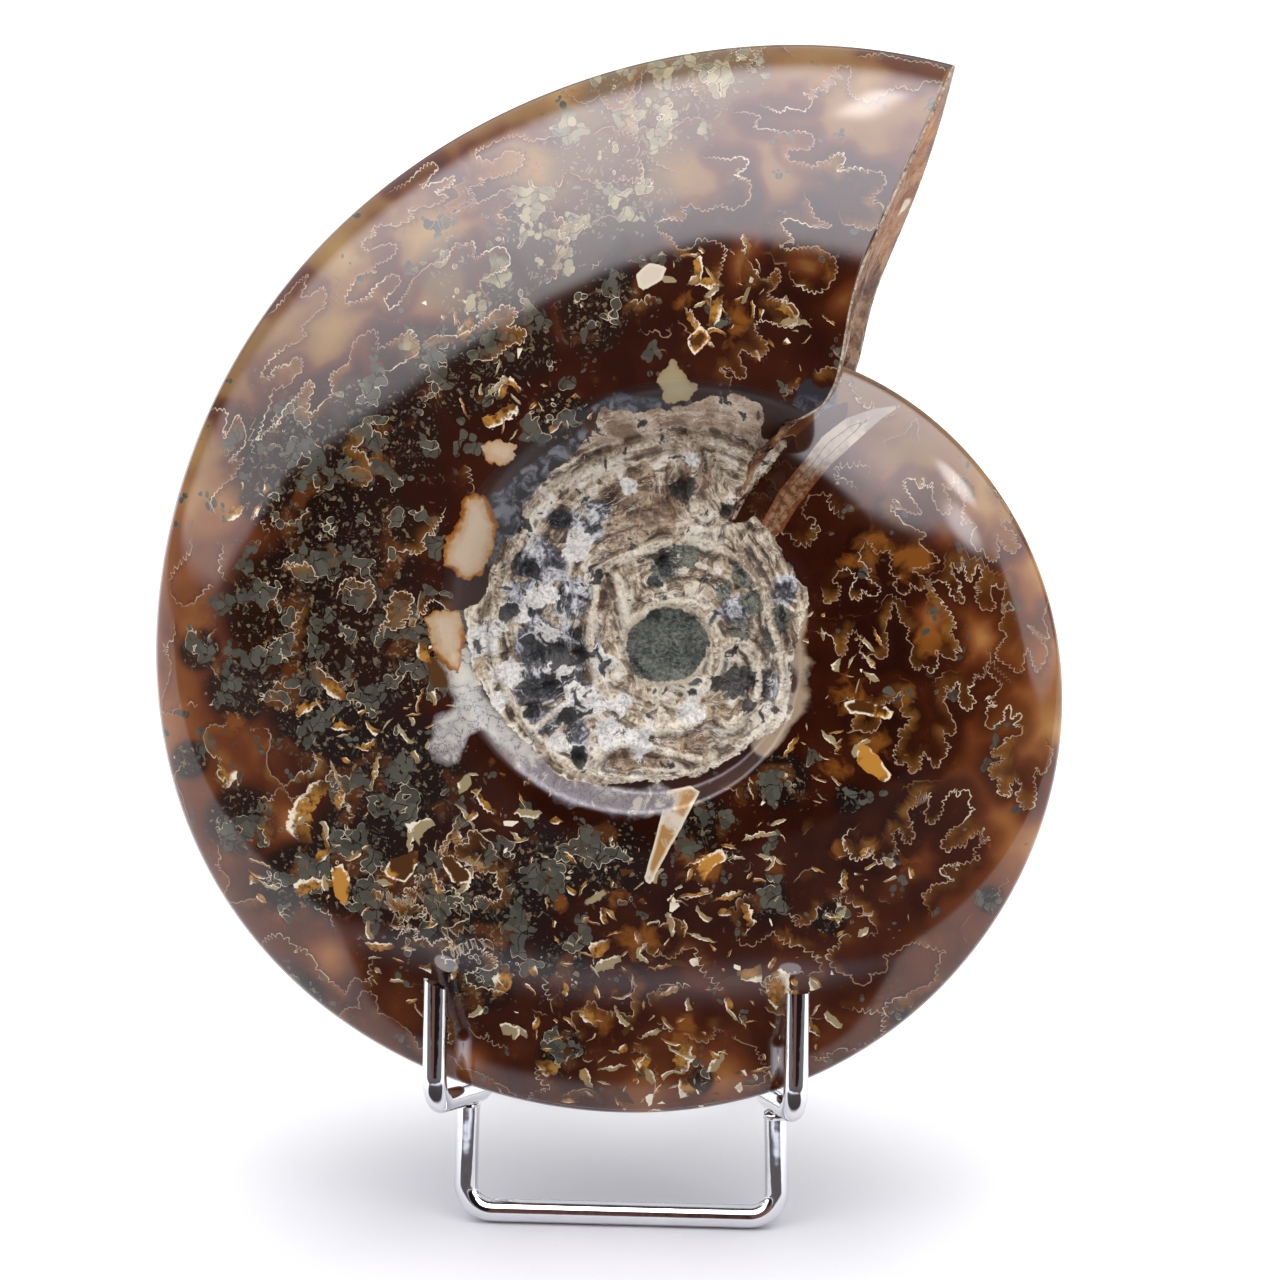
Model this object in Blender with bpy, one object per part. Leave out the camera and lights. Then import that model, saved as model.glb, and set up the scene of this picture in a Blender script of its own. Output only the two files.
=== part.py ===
# Polished ammonite resting on a chrome wire display stand. Metres, +Z up.
# The disc of the ammonite has its own frame, with its origin at the umbilicus: x to the right,
# y up the disc and z out of its front face. The disc leans back from the vertical.
# Growth runs clockwise seen from the front, so an angle measured back from the aperture runs anticlockwise.
import math

import bmesh
import bpy
from mathutils import Matrix, Vector

# Whole object
LEAN_DEG = 13.0
TOUCH_GAP = 0.0003

# Outline of the last whorl: a growing spiral with slow waves, as amplitudes of cosine and sine
OUTLINE_RADIUS = 0.1093
OUTLINE_START_DEG = 62.0
OUTLINE_GROWTH = 0.6955
OUTLINE_WAVES = ((0.0307, -0.0782), (0.0061, 0.0192), (-0.0037, -0.0042), (-0.0013, 0.0022), (0.0024, -0.0011))

# Aperture: a nearly radial edge that curls forward where the umbilical wall meets it
APERTURE_DEG = 61.9
APERTURE_TWIST_DEG = 25.0
APERTURE_CURL_DEG = 5.4
APERTURE_CURL_RADIUS = 0.048
APERTURE_CURL_INNER = 0.006
APERTURE_CURL_OUTER = 0.012
FAR_LIP_DEG = 2.6
FAR_LIP_FADE_DEG = 15.0

# Flank, from the umbilical shoulder to the keel
FLANK_THICKNESS = 0.0225
FLANK_GROWTH = 0.75
FLANK_POWER = 1.9
FLANK_ROUNDING = 0.7

# Umbilicus: the seam spirals inward, and the wall above it is widest near the aperture
SEAM_RADIUS = 0.0355
WALL_NARROW = 1.08
WALL_EXTRA = 0.21
WALL_FADE_DEG = 165.0
WALL_FADE_SPREAD_DEG = 28.0
FLOOR_DEPTH = 0.0082
FLOOR_SLOPE = 0.06
WHORL_RELIEF = 0.056
WHORL_CREST = 0.75
APERTURE_FOOT_RADIUS = 0.0217
FOOT_BLEND_RADIUS = 0.028
FOOT_BLEND_DEG = 290.0

# Mesh of the ammonite
COLUMNS = 90
INNER_RADII = (0.0062, 0.0085, 0.0115, 0.0145, 0.018)
OUTER_ROWS = 15

# Stand, bent from round wire. Places across it are measured from the stand's middle.
WIRE_RADIUS = 0.00205
WIRE_SIDES = 12
BEND_STEP_DEG = 15.0
STAND_MIDDLE = -0.0072
HOOK_HALF_WIDTH = 0.0294
HOOK_FRONT = 0.014
HOOK_TIP_HEIGHT = -0.0555
HOOK_TIP_SLANT_DEG = 24.0
HOOK_LEVEL = -0.07515
HOOK_BEND = 0.005
ARM_DROP = 0.088
REST_HALF_WIDTH = 0.0229
REST_HEIGHT = -0.002
REST_FOOT_BEND = 0.008
REST_TOP_BEND = 0.014
FRONT_LEG_BEHIND = -0.005
FRONT_LEG_HALF_WIDTH = 0.0261
FRONT_BAR_FORWARD = -0.015
FOOT_BEND = 0.0045
BAR_LEVEL = -0.0959
REAR_WELD_TOP = -0.040
REAR_WELD_END = -0.050
REAR_BAR_BACK = 0.046
REAR_LEG_BEND = 0.008

AMMONITE_COLOUR = (0.22, 0.075, 0.022, 1.0)
CHROME_COLOUR = (0.78, 0.79, 0.80, 1.0)


def smooth(low, high, value):
    """An even step from 0 at low to 1 at high."""
    share = min(max((value - low) / (high - low), 0.0), 1.0)
    return share * share * (3.0 - 2.0 * share)


def polar(radius, angle_deg, height):
    angle = math.radians(angle_deg)
    return Vector((radius * math.cos(angle), radius * math.sin(angle), height))


def outline_radius(angle_deg):
    """Radius of the keel at an angle, which may run past a full turn."""
    turns = (angle_deg - OUTLINE_START_DEG) / 360.0
    wave = 0.0
    for order, (along, across) in enumerate(OUTLINE_WAVES, start=1):
        phase = math.radians(order * angle_deg)
        wave += along * math.cos(phase) + across * math.sin(phase)
    return OUTLINE_RADIUS * math.exp(wave - OUTLINE_GROWTH * turns)


def aperture_angle(radius):
    """Angle of the aperture's edge, in degrees, at a radius."""
    off = radius - APERTURE_CURL_RADIUS
    spread = APERTURE_CURL_INNER if off < 0.0 else APERTURE_CURL_OUTER
    curl = APERTURE_CURL_DEG * math.exp(-((off / spread) ** 2))
    return APERTURE_DEG + APERTURE_TWIST_DEG * radius - curl


def keel_radius(back_deg):
    """Radius of the keel at an angle back from the aperture, whose edge is itself bent."""
    radius = OUTLINE_RADIUS
    for _ in range(6):
        radius = outline_radius(aperture_angle(radius) + back_deg)
    return radius


def umbilical_floor(radius, back_deg):
    """Half thickness over the inner whorls: a shallow cone with a rounded step at each turn of the seam."""
    if radius == 0.0:
        return FLOOR_DEPTH
    inward = (math.log(SEAM_RADIUS / radius) / OUTLINE_GROWTH - back_deg / 360.0) % 1.0
    step = inward / WHORL_CREST
    if inward > WHORL_CREST:
        step = smooth(0.0, 1.0 - WHORL_CREST, 1.0 - inward)
    return FLOOR_DEPTH + (FLOOR_SLOPE + WHORL_RELIEF * step) * radius


def half_thickness(radius, back_deg, keel):
    """Distance of either face from the middle plane."""
    seam = SEAM_RADIUS * math.exp(-OUTLINE_GROWTH * back_deg / 360.0)
    fade = 1.0 + math.exp((back_deg - WALL_FADE_DEG) / WALL_FADE_SPREAD_DEG)
    shoulder = seam * (WALL_NARROW + WALL_EXTRA / fade)
    thickness = FLANK_THICKNESS * math.exp(-FLANK_GROWTH * back_deg / 360.0)
    across = min(max((radius - shoulder) / (keel - shoulder), 0.0), 1.0)
    flank = thickness * (1.0 - across**FLANK_POWER) ** FLANK_ROUNDING
    inside = 1.0 - smooth(seam, shoulder, radius)
    foot = smooth(FOOT_BLEND_DEG, 360.0, back_deg)
    foot *= 1.0 - smooth(APERTURE_FOOT_RADIUS, FOOT_BLEND_RADIUS, radius)
    share = max(inside, foot)
    return flank * (1.0 - share) + umbilical_floor(radius, back_deg) * share


def thickness_at(across, up):
    """Half thickness at a point of the disc's own plane, outside the umbilicus's centre."""
    radius = math.hypot(across, up)
    back_deg = (math.degrees(math.atan2(up, across)) - aperture_angle(radius)) % 360.0
    keel = keel_radius(back_deg)
    return half_thickness(radius, back_deg, keel) if radius < keel else 0.0


def column_rows(back_deg):
    """(radius, share) down one column: the share runs from 0 at the aperture's foot to 1 at the keel."""
    rows = [(radius, 0.0) for radius in INNER_RADII]
    keel = keel_radius(back_deg)
    for row in range(OUTER_ROWS + 1):
        share = (1.0 - math.cos(math.pi * row / OUTER_ROWS)) / 2.0
        rows.append((APERTURE_FOOT_RADIUS + (keel - APERTURE_FOOT_RADIUS) * share, share))
    return rows


def ammonite_column(mesh, back_deg):
    """Vertices of one column, from the inside out: those of the front face and those of the back."""
    front = []
    back = []
    keel = keel_radius(back_deg)
    for radius, share in column_rows(back_deg):
        angle = aperture_angle(radius) + back_deg
        if share == 1.0:
            vertex = mesh.verts.new(polar(radius, angle, 0.0))
            front.append(vertex)
            back.append(vertex)
            continue
        height = half_thickness(radius, back_deg, keel)
        lip = FAR_LIP_DEG * math.sin(math.pi * share) * (1.0 - smooth(0.0, FAR_LIP_FADE_DEG, back_deg))
        front.append(mesh.verts.new(polar(radius, angle, height)))
        back.append(mesh.verts.new(polar(radius, angle - lip, -height)))
    return front, back


def skin(mesh, inner, outer, facing_front):
    """Quads between two neighbouring columns of one face."""
    for row in range(len(inner) - 1):
        corners = [inner[row], inner[row + 1], outer[row + 1], outer[row]]
        mesh.faces.new(corners if facing_front else corners[::-1])


def aperture_face(mesh, first, last, welded, facing_front):
    """Closes the aperture between the newest column and the old whorl's column under it."""
    for row in range(welded, len(first) - 1):
        corners = [first[row], last[row], last[row + 1], first[row + 1]]
        if first[row] is last[row]:
            corners.remove(last[row])
        mesh.faces.new(corners if facing_front else corners[::-1])


def build_ammonite():
    mesh = bmesh.new()
    columns = [ammonite_column(mesh, 360.0 * index / COLUMNS) for index in range(COLUMNS)]
    newest = columns[0]
    oldest = ammonite_column(mesh, 360.0)
    welded = len(INNER_RADII)
    for side in range(2):
        for row in range(welded + 1):
            mesh.verts.remove(oldest[side][row])
            oldest[side][row] = newest[side][row]
    columns.append(oldest)
    pole = FLOOR_DEPTH
    for side, facing_front in ((0, True), (1, False)):
        centre = mesh.verts.new((0.0, 0.0, pole if facing_front else -pole))
        for this, following in zip(columns, columns[1:]):
            inner = this[side]
            outer = following[side]
            corners = [centre, inner[0], outer[0]]
            mesh.faces.new(corners if facing_front else corners[::-1])
            skin(mesh, inner, outer, facing_front)
        aperture_face(mesh, newest[side], oldest[side], welded, facing_front)
    bmesh.ops.triangulate(mesh, faces=mesh.faces[:])
    return finish("ammonite", mesh, material("polished_ammonite", AMMONITE_COLOUR, 0.08, 0.0))


def leaning(across, up, forward):
    """A point given in the disc's frame, as an upright vector from the umbilicus."""
    lean = math.radians(LEAN_DEG)
    return Vector(
        (
            across,
            up * math.sin(lean) - forward * math.cos(lean),
            up * math.cos(lean) + forward * math.sin(lean),
        )
    )


def rounded_path(corners, radii):
    """The polyline through the corners, each inner corner turned at its radius in even steps."""
    path = [corners[0]]
    for before, corner, after, radius in zip(corners, corners[1:], corners[2:], radii):
        arriving = (before - corner).normalized()
        leaving = (after - corner).normalized()
        turn = math.pi - arriving.angle(leaving)
        middle = corner + (arriving + leaving).normalized() * radius / math.cos(turn / 2.0)
        start = corner + arriving * radius * math.tan(turn / 2.0)
        axis = arriving.cross(leaving).normalized()
        steps = max(2, round(math.degrees(turn) / BEND_STEP_DEG))
        for step in range(steps + 1):
            spin = Matrix.Rotation(-turn * step / steps, 3, axis)
            path.append(middle + spin @ (start - middle))
    path.append(corners[-1])
    return path


def ring_normals(path, seed, seed_normal):
    """A normal for each point of the path, carried both ways from the seed point without twisting."""
    tangents = []
    for index in range(len(path)):
        ahead = path[min(index + 1, len(path) - 1)]
        behind = path[max(index - 1, 0)]
        tangents.append((ahead - behind).normalized())
    normals = [None] * len(path)
    normals[seed] = seed_normal
    for index in list(range(seed + 1, len(path))) + list(range(seed - 1, -1, -1)):
        near = index - 1 if index > seed else index + 1
        carried = normals[near]
        carried = carried - tangents[index] * carried.dot(tangents[index])
        normals[index] = carried.normalized()
    return tangents, normals


def bend_stretch(path, index, tangent):
    """How much wider a ring sits where the path turns, so that the wire keeps its thickness."""
    if index in (0, len(path) - 1):
        return 1.0
    leaving = (path[index + 1] - path[index]).normalized()
    return 1.0 / max(leaving.dot(tangent), 0.5)


def build_wire(name, path, cuts):
    """A bent wire with flat cut ends. Its flats face straight down in the middle of the path."""
    seed = len(path) // 2
    tangents, normals = ring_normals(path, seed, Vector((0.0, 0.0, -1.0)))
    mesh = bmesh.new()
    rings = []
    for index, (point, tangent, normal) in enumerate(zip(path, tangents, normals)):
        side = tangent.cross(normal)
        stretch = bend_stretch(path, index, tangent)
        turning = Vector((0.0, 0.0, 0.0))
        if stretch > 1.0:
            turning = (path[index + 1] + path[index - 1] - 2.0 * point).normalized()
        ring = []
        for step in range(WIRE_SIDES):
            angle = 2.0 * math.pi * (step + 0.5) / WIRE_SIDES
            offset = (normal * math.cos(angle) + side * math.sin(angle)) * WIRE_RADIUS
            offset += turning * offset.dot(turning) * (stretch - 1.0)
            ring.append(point + offset)
        rings.append(ring)
    for ring, tangent, point, cut in zip(
        (rings[0], rings[-1]), (tangents[0], tangents[-1]), (path[0], path[-1]), cuts
    ):
        for index, corner in enumerate(ring):
            ring[index] = corner + tangent * (point - corner).dot(cut) / tangent.dot(cut)
    rows = [[mesh.verts.new(corner) for corner in ring] for ring in rings]
    for near, far in zip(rows, rows[1:]):
        for index in range(WIRE_SIDES):
            following = (index + 1) % WIRE_SIDES
            mesh.faces.new((near[index], near[following], far[following], far[index]))
    mesh.faces.new(rows[0][::-1])
    mesh.faces.new(rows[-1])
    bmesh.ops.recalc_face_normals(mesh, faces=mesh.faces[:])
    return finish(name, mesh, material("chrome_wire", CHROME_COLOUR, 0.05, 1.0))


def arm_level(forward):
    """Height of the arms up the disc, which drop a little towards the back."""
    return HOOK_LEVEL + ARM_DROP * (forward - HOOK_FRONT)


def rest_depth():
    """How far behind the disc's middle plane the back rest stands, to touch the back face."""
    deepest = 0.0
    steps = 40
    for hand in (-1.0, 1.0):
        for step in range(steps + 1):
            up = HOOK_LEVEL + (REST_HEIGHT - HOOK_LEVEL) * step / steps
            deepest = max(deepest, thickness_at(STAND_MIDDLE + hand * REST_HALF_WIDTH, up))
    return -(deepest + TOUCH_GAP + WIRE_RADIUS)


def arm_half_width(forward):
    """Half the distance between the arms, which draw together towards the back."""
    share = (HOOK_FRONT - forward) / (HOOK_FRONT - rest_depth())
    return HOOK_HALF_WIDTH + (REST_HALF_WIDTH - HOOK_HALF_WIDTH) * share


def build_cradle():
    """Hook, arm and upright of the left side, over the top of the back rest, and down the right side."""
    rest = rest_depth()
    half = (
        (HOOK_HALF_WIDTH, HOOK_TIP_HEIGHT, HOOK_FRONT),
        (HOOK_HALF_WIDTH, HOOK_LEVEL, HOOK_FRONT),
        (REST_HALF_WIDTH, arm_level(rest), rest),
        (REST_HALF_WIDTH, REST_HEIGHT, rest),
    )
    corners = [leaning(STAND_MIDDLE - across, up, forward) for across, up, forward in half]
    corners += [leaning(STAND_MIDDLE + across, up, forward) for across, up, forward in half[::-1]]
    radii = (HOOK_BEND, REST_FOOT_BEND, REST_TOP_BEND, REST_TOP_BEND, REST_FOOT_BEND, HOOK_BEND)
    slant = math.radians(HOOK_TIP_SLANT_DEG)
    left_cut = leaning(math.sin(slant), math.cos(slant), 0.0)
    right_cut = leaning(0.0, 1.0, 0.0)
    return build_wire("stand_cradle_wire", rounded_path(corners, radii), (left_cut, right_cut))


def build_front_foot():
    """A U under the arms: its two cut ends butt against them and its bar stands on the floor."""
    lean = math.radians(LEAN_DEG)
    arm = leaning(0.0, arm_level(FRONT_LEG_BEHIND), FRONT_LEG_BEHIND)
    slope = lean + math.atan(ARM_DROP)
    under = WIRE_RADIUS / math.cos(slope) + TOUCH_GAP
    middle = STAND_MIDDLE
    corners = [
        Vector((middle - arm_half_width(FRONT_LEG_BEHIND), arm.y, arm.z - under)),
        Vector((middle - FRONT_LEG_HALF_WIDTH, FRONT_BAR_FORWARD, BAR_LEVEL)),
        Vector((middle + FRONT_LEG_HALF_WIDTH, FRONT_BAR_FORWARD, BAR_LEVEL)),
        Vector((middle + arm_half_width(FRONT_LEG_BEHIND), arm.y, arm.z - under)),
    ]
    cut = Vector((0.0, math.sin(slope), math.cos(slope)))
    return build_wire("stand_front_foot", rounded_path(corners, (FOOT_BEND, FOOT_BEND)), (cut, cut))


def build_rear_leg():
    """A strut behind the back rest: it lies against both uprights, then slants down to a bar on the floor."""
    behind = rest_depth() - 2.0 * WIRE_RADIUS - TOUCH_GAP
    middle = STAND_MIDDLE
    top = leaning(0.0, REAR_WELD_TOP, behind)
    elbow = leaning(0.0, REAR_WELD_END, behind)
    corners = []
    for hand in (-1.0, 1.0):
        across = middle + hand * REST_HALF_WIDTH
        leg = [
            Vector((across, top.y, top.z)),
            Vector((across, elbow.y, elbow.z)),
            Vector((across, REAR_BAR_BACK, BAR_LEVEL)),
        ]
        corners += leg if hand < 0.0 else leg[::-1]
    radii = (REAR_LEG_BEND, FOOT_BEND, FOOT_BEND, REAR_LEG_BEND)
    cut = leaning(0.0, 1.0, 0.0)
    return build_wire("stand_rear_leg", rounded_path(corners, radii), (cut, cut))


def material(name, colour, roughness, metallic):
    """One Principled material, shared by the pieces that name it."""
    found = bpy.data.materials.get(name)
    if found:
        return found
    made = bpy.data.materials.new(name)
    made.use_nodes = True
    shader = made.node_tree.nodes["Principled BSDF"]
    shader.inputs["Base Color"].default_value = colour
    shader.inputs["Roughness"].default_value = roughness
    shader.inputs["Metallic"].default_value = metallic
    return made


def finish(name, built, surface):
    """Turns a finished bmesh into a named object, shaded smooth."""
    mesh = bpy.data.meshes.new(name)
    built.to_mesh(mesh)
    built.free()
    mesh.shade_smooth()
    mesh.set_sharp_from_angle(angle=math.radians(40.0))
    mesh.materials.append(surface)
    made = bpy.data.objects.new(name, mesh)
    bpy.context.scene.collection.objects.link(made)
    return made


def corners_of(pieces):
    return [piece.matrix_world @ vertex.co for piece in pieces for vertex in piece.data.vertices]


def stand_on_floor(pieces):
    """Moves the whole object so that the middle of its underside is at the origin."""
    bpy.context.view_layer.update()
    points = corners_of(pieces)
    low = Vector([min(point[axis] for point in points) for axis in range(3)])
    high = Vector([max(point[axis] for point in points) for axis in range(3)])
    umbilicus = Vector((-(low.x + high.x) / 2.0, -(low.y + high.y) / 2.0, -low.z))
    for piece in pieces:
        piece.location = umbilicus
    bpy.context.view_layer.update()


def main():
    for old in list(bpy.data.objects):
        bpy.data.objects.remove(old, do_unlink=True)
    ammonite = build_ammonite()
    ammonite.rotation_euler = (math.radians(90.0 - LEAN_DEG), 0.0, 0.0)
    pieces = [ammonite, build_cradle(), build_front_foot(), build_rear_leg()]
    stand_on_floor(pieces)


main()
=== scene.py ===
# %% [markdown]
# # A polished ammonite on a chrome stand
# A coiled fossil shell, cut smooth and polished, leans back in a small stand of bent wire.
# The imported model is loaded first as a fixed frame. Everything below is made to fit it.

# %% Load the frame
import math

import bpy
import numpy as np
from mathutils import Matrix, Vector, kdtree, noise


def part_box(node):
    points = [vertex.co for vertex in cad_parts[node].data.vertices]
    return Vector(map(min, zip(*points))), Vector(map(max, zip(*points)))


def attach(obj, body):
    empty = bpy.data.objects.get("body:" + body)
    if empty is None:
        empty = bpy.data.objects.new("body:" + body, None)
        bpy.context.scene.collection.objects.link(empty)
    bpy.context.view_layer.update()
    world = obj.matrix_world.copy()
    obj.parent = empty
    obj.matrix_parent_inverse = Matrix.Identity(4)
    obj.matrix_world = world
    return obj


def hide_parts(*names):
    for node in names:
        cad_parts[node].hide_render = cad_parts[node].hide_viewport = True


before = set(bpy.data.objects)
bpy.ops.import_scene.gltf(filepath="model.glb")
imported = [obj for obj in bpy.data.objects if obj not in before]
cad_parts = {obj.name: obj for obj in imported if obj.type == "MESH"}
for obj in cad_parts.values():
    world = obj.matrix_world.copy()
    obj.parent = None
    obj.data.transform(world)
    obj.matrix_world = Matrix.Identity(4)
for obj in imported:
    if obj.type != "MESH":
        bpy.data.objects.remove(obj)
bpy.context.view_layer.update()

print("pieces of the frame:", sorted(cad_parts))

# %% [markdown]
# ## The shell's own frame
# A coiled shell is easiest to describe flat: x to the right, y up the disc and z out of its front
# face, with the origin at the umbilicus, the hollow in the middle of the coil. The finished disc
# then leans back in its stand. The coil widens by the same share in every part of a turn, which is
# what makes it a logarithmic spiral, and a few slow waves give this one its own outline.

# %% Shape of the coil
LEAN_DEG = 13.0
OUTLINE_RADIUS = 0.1093
OUTLINE_START_DEG = 62.0
OUTLINE_GROWTH = 0.6955
OUTLINE_WAVES = (
    (0.0307, -0.0782), (0.0061, 0.0192), (-0.0037, -0.0042), (-0.0013, 0.0022), (0.0024, -0.0011),
)
APERTURE_DEG = 61.9
APERTURE_TWIST_DEG = 25.0
APERTURE_CURL_DEG = 5.4
APERTURE_CURL_RADIUS = 0.048
APERTURE_CURL_INNER = 0.006
APERTURE_CURL_OUTER = 0.012
FAR_LIP_DEG = 2.6
FAR_LIP_FADE_DEG = 15.0
FLANK_THICKNESS = 0.0225
FLANK_GROWTH = 0.75
FLANK_POWER = 1.9
FLANK_ROUNDING = 0.7
SEAM_RADIUS = 0.0355
WALL_NARROW = 1.08
WALL_EXTRA = 0.21
WALL_FADE_DEG = 165.0
WALL_FADE_SPREAD_DEG = 28.0
FLOOR_DEPTH = 0.0082
FLOOR_SLOPE = 0.06
WHORL_RELIEF = 0.056
WHORL_CREST = 0.75
APERTURE_FOOT_RADIUS = 0.0217
FOOT_BLEND_RADIUS = 0.028
FOOT_BLEND_DEG = 290.0


def eased(low, high, value):
    share = np.clip((value - low) / (high - low), 0.0, 1.0)
    return share * share * (3.0 - 2.0 * share)


def outline_radius(angle_deg):
    wave = np.zeros_like(angle_deg)
    for order, (along, across) in enumerate(OUTLINE_WAVES, start=1):
        phase = np.radians(order * angle_deg)
        wave = wave + along * np.cos(phase) + across * np.sin(phase)
    return OUTLINE_RADIUS * np.exp(wave - OUTLINE_GROWTH * (angle_deg - OUTLINE_START_DEG) / 360.0)


def aperture_angle(radius):
    off = radius - APERTURE_CURL_RADIUS
    spread = np.where(off < 0.0, APERTURE_CURL_INNER, APERTURE_CURL_OUTER)
    return APERTURE_DEG + APERTURE_TWIST_DEG * radius - APERTURE_CURL_DEG * np.exp(-((off / spread) ** 2))


def keel_radius(back_deg):
    """Radius of the outer edge, at an angle counted back from the shell's mouth."""
    radius = np.full_like(back_deg, OUTLINE_RADIUS)
    for _ in range(6):
        radius = outline_radius(aperture_angle(radius) + back_deg)
    return radius


def whorl_share(radius, back_deg):
    """How far inward a point lies between two turns of the seam, from 0 to 1."""
    return (np.log(SEAM_RADIUS / np.maximum(radius, 1e-6)) / OUTLINE_GROWTH - back_deg / 360.0) % 1.0


def umbilical_floor(radius, back_deg):
    inward = whorl_share(radius, back_deg)
    step = np.where(inward > WHORL_CREST, eased(0.0, 1.0 - WHORL_CREST, 1.0 - inward), inward / WHORL_CREST)
    return FLOOR_DEPTH + (FLOOR_SLOPE + WHORL_RELIEF * step) * radius


def shoulder_radius(back_deg):
    seam = SEAM_RADIUS * np.exp(-OUTLINE_GROWTH * back_deg / 360.0)
    extra = WALL_EXTRA / (1.0 + np.exp((back_deg - WALL_FADE_DEG) / WALL_FADE_SPREAD_DEG))
    return seam, seam * (WALL_NARROW + extra)


def half_thickness(radius, back_deg, keel):
    """Distance of either face from the middle of the shell."""
    seam, shoulder = shoulder_radius(back_deg)
    across = np.clip((radius - shoulder) / (keel - shoulder), 0.0, 1.0)
    thickness = FLANK_THICKNESS * np.exp(-FLANK_GROWTH * back_deg / 360.0)
    flank = thickness * (1.0 - across**FLANK_POWER) ** FLANK_ROUNDING
    inside = 1.0 - eased(seam, shoulder, radius)
    near_foot = 1.0 - eased(APERTURE_FOOT_RADIUS, FOOT_BLEND_RADIUS, radius)
    share = np.maximum(inside, eased(FOOT_BLEND_DEG, 360.0, back_deg) * near_foot)
    return flank * (1.0 - share) + umbilical_floor(radius, back_deg) * share


def on_shell(radius, back_deg, side, lip=0.0):
    """Points of the shell's skin: side is 1 on the front face and -1 on the back."""
    keel = keel_radius(back_deg)
    angle = np.radians(aperture_angle(radius) + back_deg - lip)
    height = side * half_thickness(np.minimum(radius, keel), back_deg, keel)
    return np.stack([radius * np.cos(angle), radius * np.sin(angle), height], axis=-1)


widest = 2000.0 * float(keel_radius(np.zeros(1))[0])
print("the mouth's edge is", round(widest / 2.0, 1), "mm from the umbilicus")

# %% [markdown]
# ## Rolling up the shell
# A flat grid is the unrolled shell: its length is the turn of the coil and its width runs from the
# middle of the front face over the outer edge to the middle of the back. Moving each point by the
# law of the spiral rolls it up. The last few columns turn across the mouth and close it.

# %% The grid's rows and columns
TURN_COLUMNS = 560
MOUTH_COLUMNS = 10
FRONT_INNER_ROWS = 32
FRONT_OUTER_ROWS = 94
BACK_OUTER_ROWS = 38
BACK_INNER_ROWS = 10
ROW_BUNCHING = 0.3
MOUTH_RECESS = 0.0018
MOUTH_ROUGHNESS = 0.6
MOUTH_LUMPS_PER_M = 260.0
INSIDE_FRAME = 0.9992

front_rows = FRONT_INNER_ROWS + FRONT_OUTER_ROWS
all_rows = front_rows + BACK_OUTER_ROWS + BACK_INNER_ROWS
all_columns = TURN_COLUMNS + MOUTH_COLUMNS

for thing in bpy.context.selected_objects:
    thing.select_set(False)
bpy.ops.mesh.primitive_grid_add(x_subdivisions=all_columns, y_subdivisions=all_rows, size=1.0)
ammonite = bpy.context.object
ammonite.name = "polished_ammonite"
count = len(ammonite.data.vertices)
flat = np.empty(count * 3)
ammonite.data.vertices.foreach_get("co", flat)
flat = flat.reshape(-1, 3)
column = np.rint((flat[:, 0] + 0.5) * all_columns)
row = np.rint((flat[:, 1] + 0.5) * all_rows)
print("unrolled shell:", count, "points")

# %% Each point's radius and place in the turn
side = np.where(row <= front_rows, 1.0, -1.0)
from_pole = np.where(side > 0.0, row, all_rows - row)
inner_rows = np.where(side > 0.0, FRONT_INNER_ROWS, BACK_INNER_ROWS)
outer_rows = np.where(side > 0.0, FRONT_OUTER_ROWS, BACK_OUTER_ROWS)
step = np.clip((from_pole - inner_rows) / outer_rows, 0.0, 1.0)
share = step - ROW_BUNCHING * np.sin(2.0 * np.pi * step) / (2.0 * np.pi)
back_deg = np.minimum(column / TURN_COLUMNS, 1.0) * 360.0


def radius_at(turn_deg):
    keel = keel_radius(turn_deg)
    outer = APERTURE_FOOT_RADIUS + (keel - APERTURE_FOOT_RADIUS) * share
    return np.where(from_pole < inner_rows, APERTURE_FOOT_RADIUS * from_pole / inner_rows, outer)


radius = radius_at(back_deg)
far_lip_deg = np.where(side < 0.0, FAR_LIP_DEG * np.sin(np.pi * share), 0.0)
points = on_shell(radius, back_deg, side, far_lip_deg * (1.0 - eased(0.0, FAR_LIP_FADE_DEG, back_deg)))

# %% Across the mouth, from the old turn's skin to the new lip
across_mouth = np.clip((column - TURN_COLUMNS) / MOUTH_COLUMNS, 0.0, 1.0)
in_mouth = column > TURN_COLUMNS
newest = np.zeros(count)
lip_radius = radius_at(newest)
lip_points = on_shell(lip_radius, newest, side, far_lip_deg)
span = lip_points - points
mouth_width = np.linalg.norm(span, axis=1)
mouth_points = points + span * across_mouth[:, None]
mouth_angle = math.radians(APERTURE_DEG + 2.0)
into_shell = np.array([-math.sin(mouth_angle), math.cos(mouth_angle), 0.0])
between_lips = eased(0.0, 0.2, across_mouth) * eased(0.0, 0.2, 1.0 - across_mouth)
depth = np.minimum(MOUTH_RECESS, 0.3 * mouth_width) * between_lips
rough = np.zeros(count)
for index in np.nonzero(in_mouth)[0]:
    rough[index] = noise.fractal(Vector(mouth_points[index]) * MOUTH_LUMPS_PER_M, 1.0, 2.0, 4)
mouth_points = mouth_points + into_shell * (depth * (1.0 + MOUTH_ROUGHNESS * rough))[:, None]
points = np.where(in_mouth[:, None], mouth_points, points)
points[:, :2] *= INSIDE_FRAME
print("shell spans", (1000.0 * (points.max(0) - points.min(0))).round(1), "mm")

# %% [markdown]
# ## Where the photograph's camera stands
# A long lens, a little above the disc and a little to its right. Knowing it gives every point of
# the front face its place in the picture, so a mark can be put on the shell where it is seen.

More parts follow.
